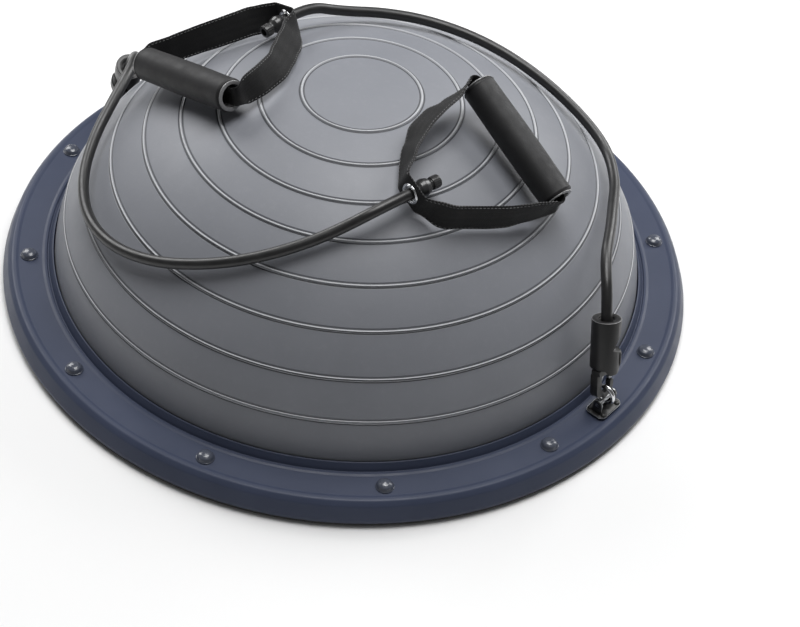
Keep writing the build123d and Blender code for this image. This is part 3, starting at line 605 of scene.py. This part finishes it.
def make_stage():
    """White floor and a soft white surround."""
    mesh = bpy.data.meshes.new("studio_floor")
    signs = ((-1, -1), (1, -1), (1, 1), (-1, 1))
    corners = [(FLOOR_HALF * x, FLOOR_HALF * y, 0) for x, y in signs]
    mesh.from_pydata(corners, [], [(0, 1, 2, 3)])
    floor_piece = new_object("studio_floor", mesh)
    material, tree, shader, place_at = new_surface("studio_floor", Roughness=0.6)
    tone = spread(tree, noise(tree, place_at, 3.0, 2.0), 0.0, 1.0)
    link_surface(tree, shader, blend_colours(tree, tone, (0.86, 0.86, 0.86), (0.88, 0.88, 0.88)))
    mesh.materials.append(material)
    world = bpy.data.worlds.new("studio")
    bpy.context.scene.world = world
    world.use_nodes = True
    surround = world.node_tree.nodes["Background"]
    surround.inputs["Color"].default_value = (1.0, 1.0, 1.0, 1.0)
    sight = node(world.node_tree, "ShaderNodeLightPath").outputs["Is Camera Ray"]
    strength = spread(world.node_tree, sight, WORLD_LIGHT, WORLD_BACKDROP, 0.0, 1.0)
    world.node_tree.links.new(strength, surround.inputs["Strength"])


make_camera()
make_stage()
make_light("top_box", (0.15, 0.20, 2.0), 32)
make_light("back_right_box", (1.3, 1.3, 1.3), 27)
make_light("back_left_box", (-1.3, 1.3, 1.3), 25)
bpy.context.scene.view_settings.view_transform = "Standard"


# ---------------------------------------------------------------- rubber tubes
def make_tube(side):
    """A resistance tube along its route, from the clip housing to its plug in the handle."""
    data = bpy.data.curves.new(f"resistance_tube_{side}", "CURVE")
    data.dimensions = "3D"
    data.bevel_depth = TUBE_DIAMETER / 2 * MM
    data.bevel_resolution = 8
    data.resolution_u = 16
    data.use_fill_caps = True
    spline = data.splines.new("NURBS")
    spline.points.add(len(TUBE_ROUTES[side]) - 1)
    for point, position in zip(spline.points, TUBE_ROUTES[side]):
        point.co = (*position, 1.0)
    spline.order_u = 3
    spline.use_endpoint_u = True
    tube = new_object(f"resistance_tube_{side}", data)
    data.materials.append(MATERIALS["tube_latex"])
    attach(tube, "platform")
    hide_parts(f"rubber_tube_{side}")
    return tube


TUBES = {side: make_tube(side) for side in TUBE_ROUTES}


# ---------------------------------------------------------------- platform
def dome_point(angle):
    """Radius, height and outward normal of the dome's skin at an angle on its ellipse."""
    radius = DOME_RADIUS * cos(angle)
    height = DOME_CENTRE + DOME_HEIGHT * sin(angle)
    normal = Vector((cos(angle) / DOME_RADIUS, sin(angle) / DOME_HEIGHT)).normalized()
    return Vector((radius, height)), normal


def rib_relief(offset):
    """Height of a moulded rib at a distance from its middle: a bead between two shallow grooves."""
    distance = abs(offset)
    if distance < CREST_HALF:
        return 1.2 * sqrt(1 - (distance / CREST_HALF) ** 2) - 0.12
    if distance < GROOVE_HALF:
        share = (distance - CREST_HALF) / (GROOVE_HALF - CREST_HALF)
        return -0.35 * sin(pi * share) - 0.12 * (1 - share)
    return 0.0


def make_dome():
    """The inflated dome: skin with its ribs, flange under the ring, and floor."""
    base_angles = [asin((DOME_SKIRT - DOME_CENTRE) / DOME_HEIGHT)]
    while base_angles[-1] < radians(88.9):
        base_angles.append(base_angles[-1] + radians(1.1))
    stations = {(angle, 0.0) for angle in base_angles}
    for rib_radius in RIB_RADII:
        middle = acos(rib_radius / DOME_RADIUS)
        arc = sqrt((DOME_RADIUS * sin(middle)) ** 2 + (DOME_HEIGHT * cos(middle)) ** 2)
        stations = {(a, h) for a, h in stations if abs(a - middle) * arc > 4.2}
        for step in range(-16, 17):
            offset = 3.2 * step / 16
            stations.add((middle + offset / arc, rib_relief(offset)))
    profile = []
    for angle, relief in sorted(stations):
        point, normal = dome_point(angle)
        profile.append(tuple(point + normal * relief))
    profile.append((0.01, DOME_CENTRE + DOME_HEIGHT))
    flange = [
        (0.01, 8.0), (8.2, 8.0), (261.6, 8.0), (261.6, 13.8), (258.2, 13.8), (258.0, 12.2), (249.6, 12.2),
    ]
    shape = Shape().lathe(flange + profile, steps=288, closed=False)
    dome = make_piece("dome_skin", shape, Matrix.Identity(4), "platform", "dome_vinyl",
                      ["dome_bladder"], sharp=80)
    mark_ribs(dome.data)


def mark_ribs(mesh):
    """Stores where the rib crests and grooves are, for the dome's painted highlight on the crests and painted
    shade in the grooves.
    """
    crest = mesh.attributes.new("rib_crest", "FLOAT", "POINT")
    groove = mesh.attributes.new("rib_groove_shade", "FLOAT", "POINT")
    for k, vertex in enumerate(mesh.vertices):
        radius = sqrt(vertex.co.x ** 2 + vertex.co.y ** 2) / MM
        if vertex.co.z / MM < DOME_SKIRT - 1 or radius > DOME_RADIUS:
            continue
        angle = acos(min(1.0, radius / DOME_RADIUS))
        stretch = sqrt((DOME_RADIUS * sin(angle)) ** 2 + (DOME_HEIGHT * cos(angle)) ** 2)
        offset = min(abs(angle - acos(rib / DOME_RADIUS)) * stretch for rib in RIB_RADII)
        crest.data[k].value = 1 - smooth_step(offset, CREST_HALF - 0.35, CREST_HALF + 0.25)
        inside = smooth_step(offset, CREST_HALF - 0.1, CREST_HALF + 0.5)
        groove.data[k].value = inside * (1 - smooth_step(offset, GROOVE_HALF - 0.7, GROOVE_HALF))


def make_ring():
    """The cover ring: skirt, rounded rim, shallow dished face, groove and collar lip."""
    corners = [
        (289.6, 4.7, 0.3), (RING_RADIUS - 0.1, 4.7, 0.5), (RING_RADIUS - 0.1, 7.4, 3.0),
        (288.0, 18.9, 5.0), (284.4, 22.4, 3.5), (281.0, 22.4, 1.0), (279.0, 21.9, 2.0),
        (259.5, 21.9, 2.0), (257.5, 22.4, 0.8), (255.6, 22.4, 0.4), (255.0, 21.2, 0.5),
        (254.2, 21.2, 0.5), (253.4, 23.2, 0.9), (250.8, 27.6, 0.8), (249.5, 27.9, 0.5), (250.1, 20.0, 0.5),
        (250.3, 12.2, 0.3), (256.4, 12.2, 0.3), (256.6, 19.4, 0.5), (283.2, 19.4, 0.5), (289.4, 7.0, 0.5),
    ]
    shape = Shape().lathe(rounded(corners, 5), steps=288)
    make_piece("cover_ring_shell", shape, Matrix.Identity(4), "platform", "ring_plastic",
               ["cover_ring"], sharp=60)


def on_circle(radius, count, start=0.0):
    """Centres of equal pieces round the platform."""
    angles = [radians(start + 360 / count * k) for k in range(count)]
    return [(radius * cos(angle), radius * sin(angle)) for angle in angles]


def make_screw_caps():
    """Domed caps over the clamp screws, each with a thin collar."""
    cap = rounded([
        (0.01, 22.0, 0), (7.35, 22.0, 0), (7.35, 22.8, 0.25), (6.9, 23.0, 0.15), (6.65, 23.5, 0.3),
        (5.7, 25.6, 2.0), (3.4, 26.8, 3.0), (0.01, 27.2, 0),
    ], 5)
    shape = Shape()
    for centre in on_circle(SCREW_CIRCLE, SCREW_COUNT, SCREW_START):
        shape.lathe(cap, steps=40, centre=centre, closed=False)
    make_piece("screw_cap_domes", shape, Matrix.Identity(4), "platform", "ring_plastic", ["screw_caps"],
               look="cap_plastic", sharp=50)


def make_feet():
    """Rubber feet with two tread grooves each."""
    foot = rounded([
        (0.01, 0.0, 0), (4.2, 0.0, 0.2), (4.6, 0.9, 0.2), (5.4, 0.9, 0.2), (5.8, 0.0, 0.2),
        (9.4, 0.0, 0.2), (9.8, 0.9, 0.2), (10.6, 0.9, 0.2), (11.0, 0.0, 0.2), (14.6, 0.0, 0.6),
        (15.0, 3.0, 0.2), (0.01, 3.0, 0),
    ], 3)
    shape = Shape()
    for centre in on_circle(FOOT_CIRCLE, FOOT_COUNT):
        shape.lathe(foot, steps=48, centre=centre, closed=False)
    make_piece("tread_feet", shape, Matrix.Identity(4), "platform", "foot_rubber", ["rubber_feet"], sharp=50)


make_dome()
make_ring()
make_screw_caps()
make_feet()


# ---------------------------------------------------------------- anchors and snap hooks
def arc(centre, radius, start, end, steps):
    """Points of an arc, angles in degrees."""
    angles = [radians(start + (end - start) * step / steps) for step in range(steps + 1)]
    return [(centre[0] + radius * cos(angle), centre[1] + radius * sin(angle)) for angle in angles]


def make_anchor(side):
    """Plate with two cheeks, its rivets and pin, and the chrome link that hangs on the pin."""
    anchor = anchor_place(side)
    plate_top = PLATE_THICKNESS - PIN_HEIGHT
    bracket = Shape()
    # Painted highlight: thin light steel strips just under the plate's top edge and round each cheek's rim.
    wear_and_highlight = Shape()
    bracket.plate(rounded([(-14, -9, 5), (14, -9, 5), (14, 9, 5), (-14, 9, 5)], 7), -PIN_HEIGHT, plate_top)
    edge = rounded([(-14.1, -9.1, 5.1), (14.1, -9.1, 5.1), (14.1, 9.1, 5.1), (-14.1, 9.1, 5.1)], 7)
    wear_and_highlight.plate(edge, plate_top - 1.0, plate_top - 0.25)
    foot = plate_top - 0.4
    for start in CHEEK_STARTS:
        stand = Matrix(((0, 0, 1, start), (1, 0, 0, 0), (0, 1, 0, 0), (0, 0, 0, 1)))
        cheek = [(-4.0, foot), (4.0, foot)] + arc((0, 0), 4.0, 0, 180, 14)
        bracket.add(Shape().plate(cheek, 0, 2.5), stand)
        rim = [(-4.1, foot), (4.1, foot)] + arc((0, 0), 4.1, 0, 180, 14)
        wear_and_highlight.add(Shape().plate(rim, 0.9, 1.9), stand)
    make_piece(f"anchor_bracket_{side}", bracket, anchor, "platform", "black_metal",
               [f"anchor_plate_{side}"], bevel=0.55, sharp=35)
    make_piece(f"anchor_edge_highlight_{side}", wear_and_highlight, anchor, "platform", "black_metal", look="gate_steel",
               sharp=35)
    rivets = Shape()
    head = rounded([
        (0.01, plate_top - 5.4, 0), (1.45, plate_top - 5.4, 0), (1.45, plate_top, 0), (2.2, plate_top, 0.1),
        (2.1, plate_top + 0.6, 0.4), (1.3, plate_top + 1.3, 0.9), (0.01, plate_top + 1.4, 0),
    ], 4)
    for x in (-9.5, 9.5):
        for y in (-6.5, 6.5):
            rivets.lathe(head, steps=28, centre=(x, y), closed=False)
    make_piece(f"rivet_heads_{side}", rivets, anchor, "platform", "zinc_steel",
               [f"anchor_rivets_{side}"], look="black_metal", sharp=50)
    pin = Shape().lathe(rounded([
        (0.01, -11.0, 0), (2.0, -11.0, 0.2), (2.0, 11.0, 0), (3.0, 11.05, 0.1), (2.9, 11.9, 0.5),
        (1.6, 12.2, 0.4), (0.01, 12.2, 0),
    ], 4), steps=36, closed=False)
    make_piece(f"cross_pin_{side}", pin, turned(anchor, 0, 1), "platform", "zinc_steel",
               [f"anchor_pin_{side}"], sharp=50)
    lean = radians(LEANS[side][0])
    rim_axis = column(anchor, 0)
    stand_axis = column(anchor, 1) * sin(lean) + column(anchor, 2) * cos(lean)
    centre = column(anchor, 3) + stand_axis * LINK_OFFSET * MM
    link = Shape().lathe(oval((LINK_RADIUS, 0), LINK_WIRE, LINK_WIRE, 24), steps=72)
    make_piece(f"link_ring_{side}", link, place(centre, stand_axis, rim_axis.cross(stand_axis), rim_axis),
               f"link_{side}", "chrome_wire", [f"anchor_link_{side}"], sharp=80)


def make_hook(side):
    """Snap hook: bent body with its bridge, gusset and stem, and the gate."""
    hook = hook_place(side)
    outer = [(-11.8, 13.0), (-11.8, -3.0), (-11.3, -5.2), (-10.0, -7.0)] + arc((0, 0), 10.2, 236, 360, 22)
    inner = arc((0, 0), 5.8, 360, 180, 24)
    outline = outer + [(10.2, 2.2), (9.2, 3.0), (6.8, 3.0), (5.8, 2.2)] + inner + [(-5.8, 13.0)]
    shape = Shape().plate(outline, -2.2, 2.2)
    bridge = rounded([(-11.8, 11.0, 1.4), (2.4, 11.0, 0.6), (2.4, 15.4, 0.4), (10.2, 15.4, 0.3),
                      (10.2, 16.0, 0.2), (-11.8, 16.0, 1.0)], 3)
    shape.plate(bridge, -4.0, 4.0)
    shape.plate([(-11.8, 12.0), (-11.8, -3.6), (-9.8, -7.2), (-6.8, -7.2), (-6.8, 12.0)], -4.6, -2.0)
    for bottom, top in ((-4.0, -2.4), (2.4, 4.0)):
        ear = rounded([(1.6, 10.9, 0.6), (10.2, 10.9, 1.8), (10.2, 16.0, 0.3), (1.6, 16.0, 0.3)], 4)
        shape.plate(ear, bottom, top)
    make_piece(f"hook_bend_{side}", shape, hook, "platform", "black_metal", [f"hook_body_{side}"],
               bevel=0.5, sharp=35)
    corners = [(-6.2, 0.4, 0.4), (-6.2, 11.2, 0), (2.0, 11.2, 0), (2.0, 7.6, 1.6), (-3.0, 0.8, 1.0)]
    web = Shape().plate(rounded(corners, 4), -2.0, -0.9)
    make_piece(f"hook_gusset_{side}", web, hook, "platform", "black_metal", look="gate_steel",
               bevel=0.2, sharp=35)
    stem = Shape().lathe(disc_profile(6.9, 15.8, 22.0, 0.3), steps=48, closed=False)
    make_piece(f"hook_stem_{side}", stem, turned(hook, 1, 0), "platform", "black_metal", sharp=50)
    gate = [(10.1, 4.2), (9.4, 3.4), (6.7, 3.4), (5.9, 4.2)] + arc(GATE_PIVOT, 2.1, 180, 0, 12)
    blade = Shape().plate(gate, -2.1, 0.9)
    for height in (5.0, 6.2, 7.4):
        grip = rounded([(9.9, height, 0.2), (10.55, height, 0.25), (10.55, height + 0.6, 0.25),
                        (9.9, height + 0.6, 0.2)], 2)
        blade.plate(grip, -1.8, 0.6)
    make_piece(f"gate_blade_{side}", blade, hook, f"gate_{side}", "gate_steel", [f"hook_gate_{side}"],
               bevel=0.3, sharp=35)


def cut_away(piece, shape, matrix):
    """Cuts a shape out of a piece."""
    cutter = new_object("cutter", shape_mesh("cutter", shape, matrix))
    weld(piece.data)
    weld(cutter.data)
    cut = piece.modifiers.new("cut", "BOOLEAN")
    cut.object = cutter
    cut.operation = "DIFFERENCE"
    cut.solver = "EXACT"
    apply_modifiers(piece)
    bpy.data.objects.remove(cutter)
    smooth_shading(piece, 45)


def make_housing(side):
    """Clip housing: bored body with a wedge cut above its thumb lip and a lower edge that dips."""
    hook = hook_place(side)
    along = turned(hook, 1, 0)
    corners = [
        (7.2, 16.4, 0.3), (10.85, 16.4, 0), (10.9, 16.3, 0.1), (11.4, 16.3, 0.3), (11.95, 17.0, 0.4),
        (11.95, 56.9, 0.4), (11.45, 57.7, 0.3), (10.9, 57.9, 0.4), (8.6, 57.9, 0.4), (6.6, 57.4, 0.5),
        (6.5, 56.2, 0.3), (4.8, 55.8, 0.3), (4.7, 54.6, 0.3), (4.7, 29.2, 0.2), (7.0, 29.0, 0.2),
    ]
    body = Shape().lathe(rounded(corners, 4), steps=120)
    dip_at = Vector((-0.26, -0.97))
    for point in body.points:
        radius = sqrt(point.x ** 2 + point.y ** 2)
        if radius > 10.87 and point.z < 20:
            facing = max(0.0, (point.x * dip_at.x + point.y * dip_at.y) / radius)
            point.z -= 4.0 * smooth_step(facing, 0.78, 0.98)
    shell = make_piece(f"clip_shell_{side}", body, along, "platform", "black_plastic",
                       [f"clip_housing_{side}"], sharp=45)
    for turn, wedge in (
        (0, [(5.6, 30.5), (14.0, 30.5), (14.0, 48.0)]),
        (26, [(5.5, 32.0), (14.5, 30.5), (14.5, 50.0)]),
        (50, [(5.3, 34.0), (14.5, 29.6), (14.5, 52.5)]),
    ):
        cut_away(shell, Shape().plate(wedge, -14, 14), hook @ Matrix.Rotation(radians(-turn), 4, "Y"))
    lip = rounded([
        (11.0, 17.0, 0), (11.8, 17.0, 0.5), (12.9, 21.0, 1.6), (12.9, 29.2, 0.9), (11.8, 30.4, 0.5),
        (11.0, 30.4, 0),
    ], 4)
    swing = [radians(-72 + 94 * step / 30) for step in range(31)]
    rings = [[(radius * cos(a), radius * sin(a), height) for radius, height in lip] for a in swing]
    make_piece(f"thumb_lip_{side}", Shape().rings(rings, caps=True), along, "platform", "black_plastic",
               bevel=0.4, sharp=35)
    # Painted highlight: a thin grey bead round the housing's top edge.
    rim = oval((11.62, 57.45), 0.28, 0.28, 10)
    make_piece(f"clip_rim_highlight_{side}", Shape().lathe(rim, steps=96), along, "platform", "black_plastic",
               look="highlight_grey_plastic", sharp=80)


for clip_side in TUBE_ROUTES:
    make_anchor(clip_side)
    make_hook(clip_side)
    make_housing(clip_side)


# ---------------------------------------------------------------- handles
def strap_line():
    """The strap's closed centre line in its handle's plane, in even steps, and its length."""
    half = list(STRAP_HALF_LOOP)
    corners = half + [(x, -y, radius) for x, y, radius in reversed(half)]
    outline = [Vector(point) for point in rounded(corners, 14)]
    loop = outline + [outline[0]]
    lengths = [0.0]
    for before, after in zip(loop, loop[1:]):
        lengths.append(lengths[-1] + (after - before).length)
    count = ceil(lengths[-1] / STRAP_STEP)
    stations = []
    index = 0
    for k in range(count):
        distance = lengths[-1] * k / count
        while lengths[index + 1] < distance:
            index += 1
        share = (distance - lengths[index]) / max(lengths[index + 1] - lengths[index], 1e-9)
        stations.append((loop[index].lerp(loop[index + 1], share), distance))
    return stations, lengths[-1]


def strap_station(point):
    """Half width, cupping and ripple of the strap at a point of its line."""
    in_grip = smooth_step(point.x, LOOP_DEPTH - 13, LOOP_DEPTH - 2)
    half_width = STRAP_HALF_WIDTH + (STRAP_HALF_IN_GRIP - STRAP_HALF_WIDTH) * in_grip
    cup = 1.9 * smooth_step(point.x, LOOP_DEPTH - 30, LOOP_DEPTH - 4)
    ripple = smooth_step(point.x, 1, 14) * (1 - smooth_step(point.x, 66, 98))
    return half_width, cup, ripple


def along_leg(values, x):
    """A leg's value at a distance from the grommet, smooth between its stations."""
    for k in range(len(values) - 1):
        if LEG_STATIONS[k] <= x <= LEG_STATIONS[k + 1]:
            share = smooth_step(x, LEG_STATIONS[k], LEG_STATIONS[k + 1])
            return values[k] + (values[k + 1] - values[k]) * share
    return 0.0


def strap_rows(stations, legs):
    """The strap's cross-sections: their places, directions and sizes, bowed and leaning as legs says."""
    rows = []
    count = len(stations)
    up = Vector((0, 0, 1))
    for k, (point, distance) in enumerate(stations):
        tangent = (stations[(k + 1) % count][0] - stations[k - 1][0]).normalized()
        normal = Vector((tangent.y, -tangent.x))
        if normal.dot(point - Vector((LOOP_DEPTH / 2, 0))) < 0:
            normal = -normal
        bows, leans = legs[1 if point.y > 0 else -1]
        middle = point + normal * along_leg(bows, point.x)
        lean = radians(along_leg(leans, point.x))
        outward = Vector((normal.x, normal.y, 0))
        half_width, cup, ripple = strap_station(point)
        rows.append({
            "point": point,
            "distance": distance,
            "centre": Vector((middle.x, middle.y, 0)),
            "tangent": Vector((tangent.x, tangent.y, 0)),
            "rise": (up * cos(lean) + outward * sin(lean)).normalized(),
            "face": (outward * cos(lean) - up * sin(lean)).normalized(),
            "half_width": half_width,
            "cup": cup,
            "wave": 0.35 * sin(distance / 13.0) * ripple,
        })
    return rows


def strap_section(row):
    """A cross-section's closed ring of points, and each point's place on the flat webbing."""
    ring = []
    unrolled = []
    for side_sign in (1, -1):
        for step in range(STRAP_STEPS_ACROSS + 1):
            share = step / STRAP_STEPS_ACROSS * 2 - 1
            width = share * row["half_width"] * side_sign
            edge = sqrt(max(0.0, 1 - abs(share) ** 8))
            depth = side_sign * STRAP_HALF_THICKNESS * (0.25 + 0.75 * edge)
            hollow = -row["cup"] * (1 - share * share) + row["wave"] * share
            off_line = depth + hollow + row["cup"] * 0.6
            ring.append(row["centre"] + row["rise"] * width + row["face"] * off_line)
            unrolled.append((row["distance"], width + STRAP_HALF_WIDTH))
    return ring, unrolled


def unroll(mesh, unrolled, total):
    """Stores the strap's length and width in millimetres as a UV layer, for its weave."""
    layer = mesh.uv_layers.new(name="unrolled")
    for polygon in mesh.polygons:
        corners = [(k, *unrolled[mesh.loops[k].vertex_index]) for k in polygon.loop_indices]
        wraps = max(along for _, along, _ in corners) > total - 2 * STRAP_STEP
        for k, along, width in corners:
            if wraps and along < total / 2:
                along += total
            layer.data[k].uv = (along, width)


def make_strap(name, legs):
    """A webbing loop round its grip, with a hole for its eyelet."""
    handle = handle_place(name)
    stations, total = strap_line()
    rows = strap_rows(stations, legs)
    sections = [strap_section(row) for row in rows]
    shape = Shape().rings([ring for ring, _ in sections], closed_rows=True)
    mesh = shape_mesh(f"webbing_loop_{name}", shape, handle)
    unroll(mesh, [spot for _, spots in sections for spot in spots], total)
    strap = new_object(f"webbing_loop_{name}", mesh)
    mesh.materials.append(MATERIALS["webbing"])
    eyelet_hole = Shape().lathe(disc_profile(6.5, -6.0, 6.0, 0.0), steps=40, closed=False)
    cut_away(strap, eyelet_hole, turned(handle, 0, 1))
    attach(strap, f"handle_{name}")
    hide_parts(f"handle_strap_{name}")
    return strap, rows, total


def make_stitches(name, rows):
    """Two rows of stitches along the webbing's edges, on both faces."""
    shape = Shape()
    stitch = capsule(2.1, 0.26)
    for row in rows[::2]:
        point = row["point"]
        if point.x > LOOP_DEPTH - 8 or (abs(point.y) < 12 and point.x < 5):
            continue
        tangent = row["tangent"]
        face = row["face"]
        hollow = -row["cup"] * (1 - STITCH_SHARE * STITCH_SHARE) + row["cup"] * 0.6
        for edge in (-1, 1):
            for side in (-1, 1):
                spot = row["centre"] + row["rise"] * row["half_width"] * STITCH_SHARE * edge
                spot = spot + face * (side * (STRAP_HALF_THICKNESS + 0.02) + hollow)
                shape.add(stitch, place(spot, tangent, face.cross(tangent).normalized(), face))
    return make_piece(f"stitching_{name}", shape, handle_place(name), f"handle_{name}", "webbing",
                      look="thread", sharp=80)


def make_grommet(name):
    """Two-piece eyelet: a rolled barrel and a rolled flange on each face of the strap."""
    across_strap = turned(handle_place(name), 0, 1)
    corners = [
        (6.0, -2.3, 0.7), (8.5, -2.2, 0.7), (8.5, -1.0, 0.3), (6.5, -1.0, 0.1), (6.5, 1.0, 0.1),
        (8.5, 1.0, 0.3), (8.5, 2.2, 0.7), (6.0, 2.3, 0.7),
    ]
    ring = Shape().lathe(rounded(corners, 4), steps=72)
    for side in (-1, 1):
        ring.lathe(oval((7.1, side * 2.15), 0.55, 0.42, 12), steps=72)
    make_piece(f"eyelet_{name}", ring, across_strap, f"handle_{name}", "chrome_wire",
               [f"grommet_{name}"], sharp=60)


def make_grip(name):
    """Core tube with its end flanges, and the foam sleeve on it."""
    handle = handle_place(name)
    middle = column(handle, 3) + column(handle, 0) * LOOP_DEPTH * MM
    along = turned(place(middle, *[column(handle, k) for k in range(3)]), 1, 0)
    end = GRIP_HALF + 1.2
    corners = [
        (9.5, -end, 0.4), (12.6, -end, 0.55), (12.6, -GRIP_HALF, 0.4), (10.7, -GRIP_HALF, 0.1),
        (10.7, GRIP_HALF, 0.1), (12.6, GRIP_HALF, 0.4), (12.6, end, 0.55), (9.5, end, 0.4),
    ]
    core = Shape().lathe(rounded(corners, 4), steps=80)
    # The core is black plastic, shown in grey to paint the highlight on its flange rims.
    make_piece(f"core_tube_{name}", core, along, f"grip_{name}", "black_plastic", [f"grip_core_{name}"],
               look="highlight_grey_plastic", sharp=50)
    profile = []
    for step in range(FOAM_STEPS + 1):
        level = -GRIP_HALF + 2.4 + (2 * GRIP_HALF - 4.8) * step / FOAM_STEPS
        profile.append((13.95 + 0.22 * cos(pi * level / GRIP_HALF), level))
    ends = arc((11.6, GRIP_HALF - 2.5), 2.35, 0, 90, 8)
    outline = profile + ends + [(10.8, GRIP_HALF - 0.15), (10.8, -GRIP_HALF + 0.15)]
    outline += [(radius, -level) for radius, level in reversed(ends)]
    sleeve = Shape().lathe(outline, steps=96)
    foam_piece = make_piece(f"foam_sleeve_{name}", sleeve, along, f"grip_{name}", "grip_foam",
                            [f"grip_foam_{name}"], sharp=60)


def make_plug(name):
    """Tube plug: flared bulb, waist and knurled stub with a hollow end."""
    across_strap = turned(handle_place(name), 0, 1)
    profile = rounded([
        (0.01, 5.2, 0), (4.5, 5.2, 0.3), (6.2, 7.4, 2.0), (7.4, 11.4, 3.0), (6.4, 15.4, 3.0),
        (4.2, 18.0, 1.0), (4.2, 19.2, 0.3), (5.2, 19.3, 0.3), (5.2, 26.6, 0.6), (3.2, 26.9, 0.3),
        (3.0, 23.5, 0.3), (0.01, 23.2, 0),
    ], 5)
    plug = Shape().lathe(profile, steps=60, closed=False)
    knurl = rounded([(5.0, -0.32, 0.1), (5.42, -0.25, 0.15), (5.42, 0.25, 0.15), (5.0, 0.32, 0.1)], 2)
    for k in range(KNURL_COUNT):
        plug.add(Shape().plate(knurl, 20.2, 25.8), Matrix.Rotation(2 * pi * k / KNURL_COUNT, 4, "Z"))
    return make_piece(f"tube_end_plug_{name}", plug, across_strap, "platform", "plug_plastic",
                      [f"tube_plug_{name}"], sharp=50)


# Bow and lean of each strap's legs, outwards, in millimetres and degrees at LEG_STATIONS from the grommet
STRAP_SHAPES = {
    "front": {
        1: ((0, -1.5, 0.7, 3.0, 1.1, -0.8, 0), (0, -14, -24, -36, -36, -26, -4)),
        -1: ((0, 1.6, 1.0, 0.9, 0.4, 0.5, 0), (0, -20, -18, -18, -16, -10, 0)),
    },
    "rear": {
        1: ((0, -3.0, -1.0, 2.0, 4.5, 4.2, 0), (0, -28, -36, -36, -28, -18, 0)),
        -1: ((0, -3.6, -4.6, -4.8, -4.6, -2.8, 0), (0, 20, 14, 10, 4, 0, 0)),
    },
}
for handle_name, leg_shapes in STRAP_SHAPES.items():
    webbing, webbing_rows, strap_length = make_strap(handle_name, leg_shapes)
    sewing = make_stitches(handle_name, webbing_rows)
    make_grommet(handle_name)
    make_grip(handle_name)
    make_plug(handle_name)

for tube_side, tube in TUBES.items():
    hook = hook_place(tube_side)


# ---------------------------------------------------------------- CAD nodes that stay in view
SLOTS = {row["node"]: row["material_slot"] for row in frame["record"]["subparts"]}
for part_name, part in frame["nodes"].items():
    if part.hide_render:
        continue
    part.data.materials.clear()
    part.data.materials.append(MATERIALS[SLOTS[part_name]])
